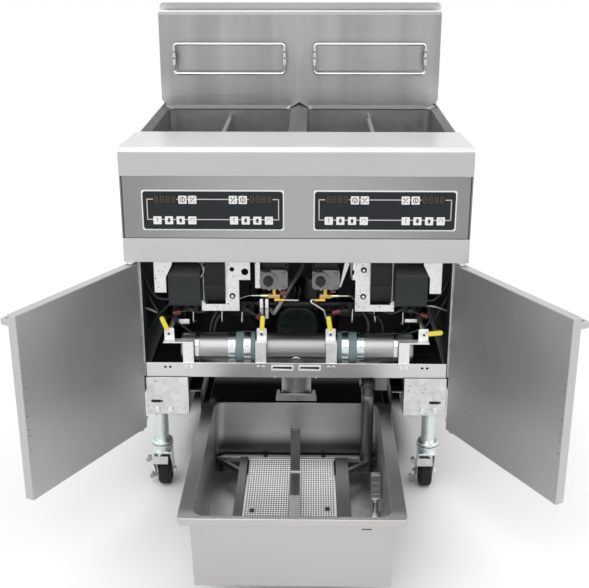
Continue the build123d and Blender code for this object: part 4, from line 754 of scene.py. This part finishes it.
def buildKeypads():
    line, windows, digits, black, faint = (bmesh.new() for _ in range(5))
    face, raised, loop, window = (keypad[label] for label in ("face", "raised", "loop", "window"))
    count, pitch = keypad["digits"]["count"], keypad["digits"]["pitch"]
    lineDepth, glass, (halfX, halfZ) = (face - raised["line"], face), face - raised["window"], window["half"]
    near, far, topZ = keypad["topKeys"]
    offsets, lowZ = keypad["lowKeys"]
    for middle in keypad["middles"]:
        # the line runs behind keys and windows
        ends = (middle - loop["half"], middle + loop["half"])
        for z in (loop["top"], loop["bottom"]):
            start, end = (ends[0] - loop["corner"], z), (ends[1] + loop["corner"], z)
            frontBar(line, start, end, loop["width"], *lineDepth)
        for x in ends:
            frontBar(line, (x, loop["bottom"]), (x, loop["top"]), loop["width"], *lineDepth)
        for side in sides:
            x, z = middle + side * window["at"], window["z"]
            softBox(windows, (x - halfX, glass, z - halfZ), (x + halfX, face, z + halfZ), window["soft"])
            for k in range(count):
                digitBars(digits, x + (k - (count - 1) / 2) * pitch, z, face - raised["digit"], glass)
            drawSign(black, "stroke", middle + side * far, topZ)
            drawSign(black, "slash", middle + side * near, topZ)
            keys = sorted(middle + side * o for o in offsets)
            drawSign(faint, "stem", keys[0], lowZ)
            for x, way in ((keys[1], -1), (keys[2], 1)):
                outline = [(x + u, lowZ + way * v) for u, v in arrow][::way]
                frontPlate(black, outline, *keypad["signDepth"])
            drawSign(faint, "openRing", keys[3], lowZ)
    setPiece("keypadLine", line, "printGrey")
    setPiece("keypadWindows", windows, "windowFace")
    setPiece("keypadDigits", digits, "segmentOlive")
    setPiece("keySignsBlack", black, "printBlack")
    setPiece("keySignsGrey", faint, "glyphGrey")


buildKeypads()
print("keypads printed")

# painted shadow: dark lines beside and under the control panel
panelShadowLines = {"boxes": [((-395.0, -0.5, 698.6), (-392.3, 0.2, 844.6), 0.15),
    ((392.3, -0.5, 698.6), (395.0, 0.2, 844.6), 0.15), ((-397.6, -0.35, 697.2), (397.6, 0.2, 698.6), 0.1)]}
setBoxes("panelShadowLines", "black_rubber", "printBlack", **panelShadowLines)

# clips with two screws that hold each basket hanger
clipX = (-346.5, -41.5, 41.5, 346.5)
clipOutline = [(-1.92, 1008), (1.92, 1008), (3.2, 1016), (3.2, 1052), (1.92, 1060), (-1.92, 1060),
    (-3.2, 1052), (-3.2, 1016)]
hangerClips = {"outlines": [[(x + u, z) for u, z in clipOutline] for x in clipX], "depth": (619, 624)}
hangerScrews = {"spots": [(x, 619.5, z) for x in clipX for z in (1029, 1046)], "count": 14,
    "profile": [(2.7, 0), (2.7, 1.2), (1.62, 2.2), (0, 2.4)]}
setPlates("hangerClips", "chrome_wire", "pickupPlate", **hangerClips)
setTurned("hangerScrews", "chrome_wire", "clipZinc", **hangerScrews)

# rounded rails on the dividers
dividerRails = {"spots": [(-186.7, 517, 880.5), (188.2, 507, 880.5)],
    "profile": [(0, 0), (3.3, 0.8), (5.4, 3), (6, 6), (6, 225)], "count": 20}
setTurned("dividerRails", "pot_steel", "dividerSteel", **dividerRails)

# painted shadow: a dark line behind the pots; and a dark strip over the joiner's roof
potDarkLines = {"boxes": [((-372, 648.2, 882.6), (-23, 650.4, 884.8), 0.2),
    ((23, 648.2, 882.6), (372, 650.4, 884.8), 0.2)], "roof": [(0, 907.8), (0, 913.3), (24, 898.2),
    (24, 895.2)], "roofY": (593, 595)}


def buildPotDarkLines():
    bm = bmesh.new()
    for box in potDarkLines["boxes"]:
        softBox(bm, *box)
    for side in sides:
        frontPlate(bm, [(side * x, z) for x, z in potDarkLines["roof"]][::side], *potDarkLines["roofY"])
    setPiece("potDarkLines", bm, "innerDark")


buildPotDarkLines()

# hex bolts on dark rings, on the blower plates
boltSpots = [(-153.3, 60, 535.4), (160.4, 60, 602.6), (160.3, 60, 535.4)]
plateBolts = {"spots": boltSpots, "count": 6, "profile": [(3.8, 1.3), (3.8, 4.2), (2.7, 5), (0, 5)]}
boltDarkRings = {"spots": boltSpots, "count": 20, "profile": [(7.2, 0), (7.2, 0.9), (6.7, 1.3), (0, 1.3)]}
setTurned("plateBolts", "zinc", "zincPlate", **plateBolts)
setTurned("boltDarkRings", "black_rubber", "innerDark", **boltDarkRings)

# cover screws, bolts and recess of both gas valves, the recess a dark plate as painted shade, and the dull
# caps under them
valveX = (0, 125)
valveScrews = {"spots": [(x + u, 70, z) for x in valveX for u, z in ((-78, 555), (-30, 555), (-30, 590))],
    "count": 18, "profile": [(4.2, 0), (4.2, 1.4), (3.2, 2.4), (1.6, 2.4), (1.2, 1.6), (0, 1.6)]}
valveBolts = {"spots": [(x + u, 84, 549) for x in valveX for u in (-66, -40)], "axis": down, "count": 6,
    "profile": [(5, 0), (5, 5), (4, 6.5), (0, 6.5)]}
valveRecess = {"boxes": [((x - 83, 69.5, 593), (x - 61, 70.2, 598), 0.2) for x in valveX]}
valveCaps = {"boxes": [((-40, 77, 530), (-22, 92, 542), 2.5), ((-34, 82, 541), (-28, 88, 550), 0.5),
    ((82, 77, 537), (95, 92, 544), 2.5), ((85.5, 82, 543), (91.5, 88, 550), 0.5)]}
setTurned("valveScrews", "zinc", "castGrey", **valveScrews)
setTurned("valveBolts", "zinc", "clampZinc", **valveBolts)
setBoxes("valveRecess", "black_plastic", "innerDark", **valveRecess)
setBoxes("valveCaps", "black_plastic", "mauvePlastic", **valveCaps)

# tubes fixed inside the cabinet: name, finish, radius, route
innerTubes = [
    ("burnerLead", "castGrey", 6.0, [(34, 200, 668), (16, 160, 590), (10, 150, 572), (-8, 123, 552),
        (-22, 105, 535), (-33, 94, 516)]),
    ("burnerLeadLow", "castGrey", 5.6, [(-33, 94, 516), (-40, 89, 504), (-48, 85, 493), (-56, 84, 478),
        (-64, 98, 488)]),
    ("senseTube", "paleTube", 2.0, [(-232, 62, 622), (-222, 54, 614), (-218, 52, 607), (-219.6, 52, 597),
        (-225.6, 52, 588), (-234, 52, 583), (-242, 60, 580)]),
    ("sparkLead1", "paleTube", 1.6, [(-112, 88, 527), (-122, 82, 527), (-134, 72, 525), (-144, 64, 528),
        (-152, 58, 534)]),
    ("sparkLead2", "paleTube", 1.6, [(124, 88, 527), (132, 82, 527), (140, 72, 524), (150, 64, 518),
        (160, 62, 514)]),
    ("signalLead", "leadWhite", 2.2, [(-26, 86, 634), (-19, 80, 632), (-13, 78, 624), (-7, 80, 620),
        (-1, 84, 626)]),
    ("riserTube", "rodZinc", 4.0, [(134, 75, 690), (132, 75, 640), (132, 75, 600), (133, 76, 570),
        (140, 100, 560)]),
    ("farLeft", "rodZinc", 4.0, [(-387.5, 110, 487), (-375, 110, 485), (-360, 110, 480), (-347, 110, 474),
        (-338, 112, 468), (-326, 135, 464)]),
    ("farRight", "rodZinc", 4.0, [(387.5, 92, 484), (368, 92, 489), (350, 92, 496), (334, 92, 500),
        (318, 94, 500), (290, 108, 497)]),
]
for name, finishName, radius, route in innerTubes:
    setTube(name, route, radius, finishName)

# leads fixed inside the cabinet: finish, radius, route
leads = [
    ("leadBlack", 4.5, [(-387, 120, 610), (-372, 108, 566), (-356, 102, 530), (-334, 100, 508),
        (-300, 100, 515)]),
    ("leadBlack", 4.0, [(-387, 130, 548), (-366, 112, 520), (-352, 104, 494), (-338, 104, 474),
        (-322, 118, 458), (-310, 140, 452)]),
    ("leadBlack", 4.2, [(-270, 100, 514), (-262, 96, 490), (-240, 95, 478), (-214, 98, 486),
        (-200, 108, 497)]),
    ("leadGreen", 3.0, [(-300, 102, 514), (-318, 98, 492), (-338, 98, 476), (-352, 102, 452),
        (-364, 110, 428), (-387, 118, 420)]),
    ("leadBlue", 2.6, [(-290, 100, 514), (-304, 92, 490), (-300, 88, 466), (-276, 90, 440),
        (-256, 92, 424)]),
    ("leadRed", 2.4, [(-140, 100, 505), (-128, 88, 494), (-116, 84, 486), (-104, 86, 478), (-96, 96, 470),
        (-90, 112, 462)]),
    ("leadBlack", 4.4, [(387, 120, 600), (370, 108, 560), (352, 102, 526), (330, 100, 508),
        (304, 100, 515)]),
    ("leadBlack", 4.0, [(387, 128, 540), (368, 110, 512), (350, 104, 486), (340, 104, 462),
        (350, 112, 430), (387, 118, 414)]),
    ("leadGreen", 3.0, [(310, 100, 514), (326, 94, 488), (330, 92, 466), (318, 96, 444), (290, 96, 430),
        (262, 92, 424)]),
    ("leadBlack", 4.2, [(276, 100, 514), (262, 96, 492), (236, 95, 478), (210, 98, 484), (196, 108, 497)]),
    ("leadBlack", 2.4, [(140, 100, 505), (160, 90, 492), (182, 86, 482), (204, 90, 470), (214, 92, 440),
        (214, 92, 424)]),
    ("leadBlack", 3.6, [(-214, 92, 424), (-212, 94, 446), (-206, 96, 462), (-196, 104, 480),
        (-190, 110, 497)]),
    ("leadBlack", 3.6, [(-204, 92, 424), (-202, 94, 446), (-194, 96, 464), (-180, 104, 482),
        (-176, 110, 497)]),
    ("leadBlack", 3.6, [(176, 92, 424), (178, 94, 448), (172, 98, 466), (160, 104, 482), (156, 110, 497)]),
]
for k, (finishName, radius, route) in enumerate(leads, 1):
    setTube(f"lead{k}", route, radius, finishName)

# thin tubes from the return manifold: radius, then the x and z of five points
dripTube = {
    "y": (104, 92, 88, 88, 130),
    "routes": (
        (2.2, (-253, -253, -253, -253, -253), (497, 492, 465, 450, 444)),
        (2.2, (-182, -182, -183, -183, -183), (497, 490, 468, 453, 446)),
        (2.4, (-134, -132, -134, -134, -134), (497, 490, 466, 451, 446)),
        (2.4, (140, 137, 136, 136, 136), (497, 492, 468, 454, 448)),
        (2.2, (188, 188, 192, 193, 193), (497, 488, 468, 455, 448)),
        (2.2, (260, 260, 260, 260, 260), (497, 490, 462, 447, 442)),
    ),
}
for k, (radius, xs, zs) in enumerate(dripTube["routes"], 1):
    setTube(f"dripTube{k}", list(zip(xs, dripTube["y"], zs)), radius, "paleTube")
print("inner tubes:", len(innerTubes) + len(leads) + len(dripTube["routes"]))

# light straps, tabs and flanges around the valves, and the tabs' dark stems
whiteStraps = {"boxes": [((-89, 78, 480), (-81, 81, 521), 0.6), ((-89, 78, 495), (-81, 110, 498), 0.6),
    ((-76, 78, 470), (-68, 81, 521), 0.6), ((-76, 78, 495), (-68, 110, 498), 0.6),
    ((-289, 88, 451), (-263, 90, 464), 0.6), ((265, 88, 458), (295, 90, 467), 0.6),
    ((-223.2, 59.4, 516), (-221.2, 140, 688), 0.4), ((228.4, 59.4, 516), (230.4, 140, 688), 0.4)]}
strapStems = {"boxes": [((-279, 89, 462), (-273, 106, 463.5), 0.4),
    ((-279, 104, 462), (-273, 106, 497), 0.4), ((277, 89, 465), (283, 106, 466.5), 0.4),
    ((277, 104, 465), (283, 106, 497), 0.4)]}
setBoxes("whiteStraps", "galvanised", "whiteZinc", **whiteStraps)
setBoxes("strapStems", "pipe_steel", "innerDark", **strapStems)

# weld beads on the drain pipe: where the spout meets it, and an arch on its front in a brighter finish, a
# painted highlight on the seam
pipeWelds = {"radius": 36.5, "pipe": (66, 399), "spoutY": 75, "turns": range(-9, 10), "turn": 11,
    "bead": 2.2, "arch": {"half": 18, "foot": 374, "rise": 14, "steps": 8, "bead": 1.7}}


def buildWelds():
    r, (y0, z0), arch = pipeWelds["radius"], pipeWelds["pipe"], pipeWelds["arch"]
    route = []
    for k in pipeWelds["turns"]:
        turn = radians(-90 + k * pipeWelds["turn"])
        y = pipeWelds["spoutY"] + r * sin(turn)
        if abs(y - y0) < r:
            route.append((r * cos(turn), y, z0 - sqrt(r * r - (y - y0) ** 2)))
    setTube("spoutBead", route, pipeWelds["bead"], "centrePipe")
    route, steps = [], arch["steps"]
    for k in range(-steps, steps + 1):
        z = arch["foot"] + arch["rise"] * cos(k * pi / (2 * steps))
        route.append((arch["half"] * k / steps, y0 - sqrt(r * r - (z - z0) ** 2), z))
    setTube("pipeWeld", route, arch["bead"], "clampZinc")


buildWelds()

# painted shadow: dark plates over the gap between each fan's scroll and its motor
fanGapShadows = {"outlines": [[(-231, 527), (-214.6, 514.6), (-218.5, 690), (-228, 690)],
    [(223.4, 517), (238.7, 527.4), (235, 690), (225.5, 690)]], "depth": (59.7, 66)}
setPlates("fanGapShadows", "black_rubber", "innerDark", **fanGapShadows)

# cross tie low at the back of the frame
rearTie = {"boxes": [((-263, 604, 262), (263, 607, 312), 0.5), ((-263, 584, 310), (263, 607, 312), 0.5)]}
setBoxes("rearTie", "pipe_steel", "innerDark", **rearTie)

# screw in the middle of each drain handle, at the handle's own front
handleScrew = {"near": 8.5, "sunk": 0.6, "profile": [(3, 0), (3, 1.4), (1.8, 2), (0, 2)], "count": 14}
for k, x in enumerate(drainHandle["pivots"], 1):
    z = drainHandle["z"]
    front = min(v.co.y for v in nodes[f"drain_handle_{k}"].data.vertices
        if hypot(v.co.x * perMetre - x, v.co.z * perMetre - z) < handleScrew["near"]) * perMetre
    spot = (x, front + handleScrew["sunk"], z)
    setTurned(f"handleScrew{k}", "zinc", "innerDark", [spot], handleScrew["profile"],
        handleScrew["count"], body=f"drain_handle_{k}")

# square folded apron over the drawer's front, with a short slit under the rim drawn as a black plate, painted
# shade
panApron = {"half": (204.2, 203.4), "top": (-484.6, 253.0), "bottom": (-457.6, 85.5), "sheet": 1.0,
    "return": 30.0, "bend": (1.2, 0.4), "slit": (138, 160, 239.7), "slitEnd": 3, "slitRise": (-1.3, 1.0),
    "slitDepth": (-0.35, 0.9)}


def buildApron():
    bm = bmesh.new()
    (yTop, zTop), (yLow, zLow) = panApron["top"], panApron["bottom"]
    sheet, deep, (wide, fine) = panApron["sheet"], panApron["return"], panApron["bend"]
    loops = []
    for half, y, z in ((panApron["half"][0], yTop, zTop), (panApron["half"][1], yLow, zLow)):
        inner = half - sheet
        loops.append([bm.verts.new((u, v, z)) for u, v in (
            (-half, y + deep), (-half, y + wide), (-half + fine, y + fine), (-half + wide, y),
            (half - wide, y), (half - fine, y + fine), (half, y + wide), (half, y + deep),
            (inner, y + deep), (inner, y + sheet + fine), (-inner, y + sheet + fine), (-inner, y + deep))])
    count = len(loops[0])
    for k in range(count):
        j = (k + 1) % count
        bm.faces.new((loops[0][k], loops[0][j], loops[1][j], loops[1][k]))
    for loop in loops:
        bm.faces.new(loop)
    setPiece("panApron", bm, "panFront", "drawer", 50)
    (x0, x1, z), end, (low, high) = panApron["slit"], panApron["slitEnd"], panApron["slitRise"]
    y = yTop + (yLow - yTop) * (zTop - z) / (zTop - zLow)
    outline = [(x0, z), (x0 + end, z + low), (x1 - end, z + low), (x1, z), (x1 - end, z + high),
        (x0 + end, z + high)]
    depth = [y + away for away in panApron["slitDepth"]]
    setPlates("apronSlit", "black_rubber", "printBlack", [outline], depth, "drawer")


buildApron()

# fine perforated screen in the drawer, on four posts, with a dark sheet under it as painted shade in the
# holes
fineScreen = {"x": (-117, 96), "y": (-432, -9), "bend": -80, "z": (128, 133), "pitch": (5.6, 8.5),
    "hole": (2.15, 3.1), "border": 4.0, "thick": (1.5, 0.1, 1.7), "slots": ((-95, -234), (73, -232)),
    "post": (10, 87), "postShape": ([(5, 0), (4, 2), (4, 38), (3, 40)], 16), "soft": 0.2, "holeShade": 2.5,
    "inset": 1}


def screenHeight(y):
    low, high = fineScreen["z"]
    bend, end = fineScreen["bend"], fineScreen["y"][1]
    return low if y < bend else low + (high - low) * (y - bend) / (end - bend)


def screenHoles(bm):
    (x0, x1), (y0, y1), border = (fineScreen[label] for label in ("x", "y", "border"))
    (pitchX, pitchY), (holeX, holeY) = fineScreen["pitch"], fineScreen["hole"]
    left, near, wide, deep = x0 + border, y0 + border, x1 - x0 - 2 * border, y1 - y0 - 2 * border
    countX, countY = int(wide / pitchX), int(deep / pitchY)
    stepX, stepY = wide / countX, deep / countY
    corners = [(1, 0), (1, 1), (0, 1), (-1, 1), (-1, 0), (-1, -1), (0, -1), (1, -1)]
    count = len(corners)
    # each slot takes two columns and two rows of holes
    slots = [(left + round((x - left) / stepX) * stepX, near + round((y - near) / stepY) * stepY)
        for x, y in fineScreen["slots"]]
    for row in range(countY):
        y = near + (row + 0.5) * stepY
        for column in range(countX):
            x = left + (column + 0.5) * stepX
            if any(abs(x - sx) < stepX and abs(y - sy) < stepY for sx, sy in slots):
                continue
            outer = [bm.verts.new((x + a * stepX / 2, y + b * stepY / 2, screenHeight(y + b * stepY / 2)))
                for a, b in corners]
            ring = []
            for k in range(count):
                turn = 2 * pi * k / count
                dx, dy = holeX * cos(turn), holeY * sin(turn)
                ring.append(bm.verts.new((x + dx, y + dy, screenHeight(y + dy))))
            for k in range(count):
                j = (k + 1) % count
                bm.faces.new((outer[k], outer[j], ring[j], ring[k]))


def buildScreen():
    bm, holeShade = bmesh.new(), bmesh.new()
    screenHoles(bm)
    (x0, x1), (y0, y1), (zLow, zHigh) = (fineScreen[label] for label in ("x", "y", "z"))
    border, bend, soft, (under, over, rear) = (fineScreen[label] for label in (
        "border", "bend", "soft", "thick"))
    softBox(bm, (x0, y0, zLow - under), (x1, y0 + border, zLow + over), soft)
    for a in (x0, x1 - border):
        softBox(bm, (a, y0, zLow - under), (a + border, bend, zLow + over), soft)
    softBox(bm, (x0, y1 - border, zHigh - rear), (x1, y1, zHigh), soft)
    inset, foot = fineScreen["post"]
    for x in (x0 + inset, x1 - inset):
        for y in (y0 + inset, bend - inset):
            turned(bm, (x, y, foot), up, *fineScreen["postShape"])
    piece = setPiece("perforatedScreen", bm, "screenSteel", "drawer")
    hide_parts("pan_screen")
    # the dark sheet under the screen: painted shade in its holes
    drop, inset = fineScreen["holeShade"], fineScreen["inset"]
    line = [(y0 + inset, zLow - drop), (bend, zLow - drop), (y1 - inset, zHigh - drop)]
    left, right = x0 + inset, x1 - inset
    rows = [[holeShade.verts.new((x, y, z - thick)) for y, z in line]
        for x, thick in ((left, 0), (right, 0), (right, 1), (left, 1))]
    for a, b in zip(rows, rows[1:] + rows[:1]):
        for k in range(len(line) - 1):
            holeShade.faces.new((a[k], b[k], b[k + 1], a[k + 1]))
    for k in (0, -1):
        holeShade.faces.new([row[k] for row in rows])
    setPiece("screenHoleShade", holeShade, "blackPaint", "drawer")


buildScreen()

# painted highlight: a bright strip across the hold-down strap's fold; dark discs in the rear bar's top face,
# painted shade in its holes
strapFoldHighlight = {"boxes": [((-11.3, -88, 138.6), (11.3, -82.6, 141.8), 0.4)]}
barHoles = {"x": (-75, 68), "y": -1.5, "sunk": 0.4, "profile": [(6.4, 0), (6.4, 0.6), (0, 0.6)],
    "count": 18, "barX": (60, 90), "barY": -12}
corners = [v.co * perMetre for v in nodes["hold_down_frame"].data.vertices]
barTop = max(c.z for c in corners
    if barHoles["barX"][0] < abs(c.x) < barHoles["barX"][1] and c.y > barHoles["barY"])
setBoxes("strapFoldHighlight", "stainless", "screenSteel", **strapFoldHighlight, body="drawer")
setTurned("barHoles", "black_rubber", "innerDark",
    [(x, barHoles["y"], barTop - barHoles["sunk"]) for x in barHoles["x"]], barHoles["profile"],
    barHoles["count"], up, "drawer")

# dark seam between the two races of each caster
casterSeams = {"spots": [(x, y, 132.4) for x in (-341.5, 332.5) for y in (75, 640)], "axis": up,
    "count": 32, "profile": [(25.2, 0), (27.2, 0.5), (27.2, 2.7), (25.2, 3.2)]}
setTurned("casterSeams", "black_rubber", "blackPlastic", **casterSeams)

# slots in the leg boxes, drawn as dark plates: painted shade
legSlot = {"spots": ((-342.5, 278.8), (335.8, 278.6)), "reach": 8.2, "radius": 3.8, "steps": 6,
    "depth": (10.7, 11.2)}


def slotOutline(x, z):
    ends, r, steps = [], legSlot["radius"], legSlot["steps"]
    for middle, start in ((x + legSlot["reach"], -90), (x - legSlot["reach"], 90)):
        turns = [radians(start + 180 * k / steps) for k in range(steps + 1)]
        ends += [(middle + r * cos(t), z + r * sin(t)) for t in turns]
    return ends


legOutlines = [slotOutline(x, z) for x, z in legSlot["spots"]]
setPlates("legSlots", "black_rubber", "innerDark", legOutlines, legSlot["depth"])

# painted highlight: bright strips on the front edges of the drawer's slides
slideEdgeHighlights = {"boxes": [((-257, 12, 305.5), (-231, 30, 307), 0.2),
    ((-232.5, 12, 270), (-231, 30, 307), 0.2), ((231, 12, 305.5), (257, 30, 307), 0.2),
    ((231, 12, 270), (232.5, 30, 307), 0.2)]}
setBoxes("slideEdgeHighlights", "galvanised", "clampZinc", **slideEdgeHighlights)

# rivets under the rail beside the catches
railRivets = {"spots": [(-51, 17, 343), (48, 17, 343)], "axis": down, "count": 16,
    "profile": [(4, 0), (4, 0.8), (2.4, 2.2), (0, 2.6)]}
setTurned("railRivets", "zinc", "zincPlate", **railRivets)
print("small hardware made")
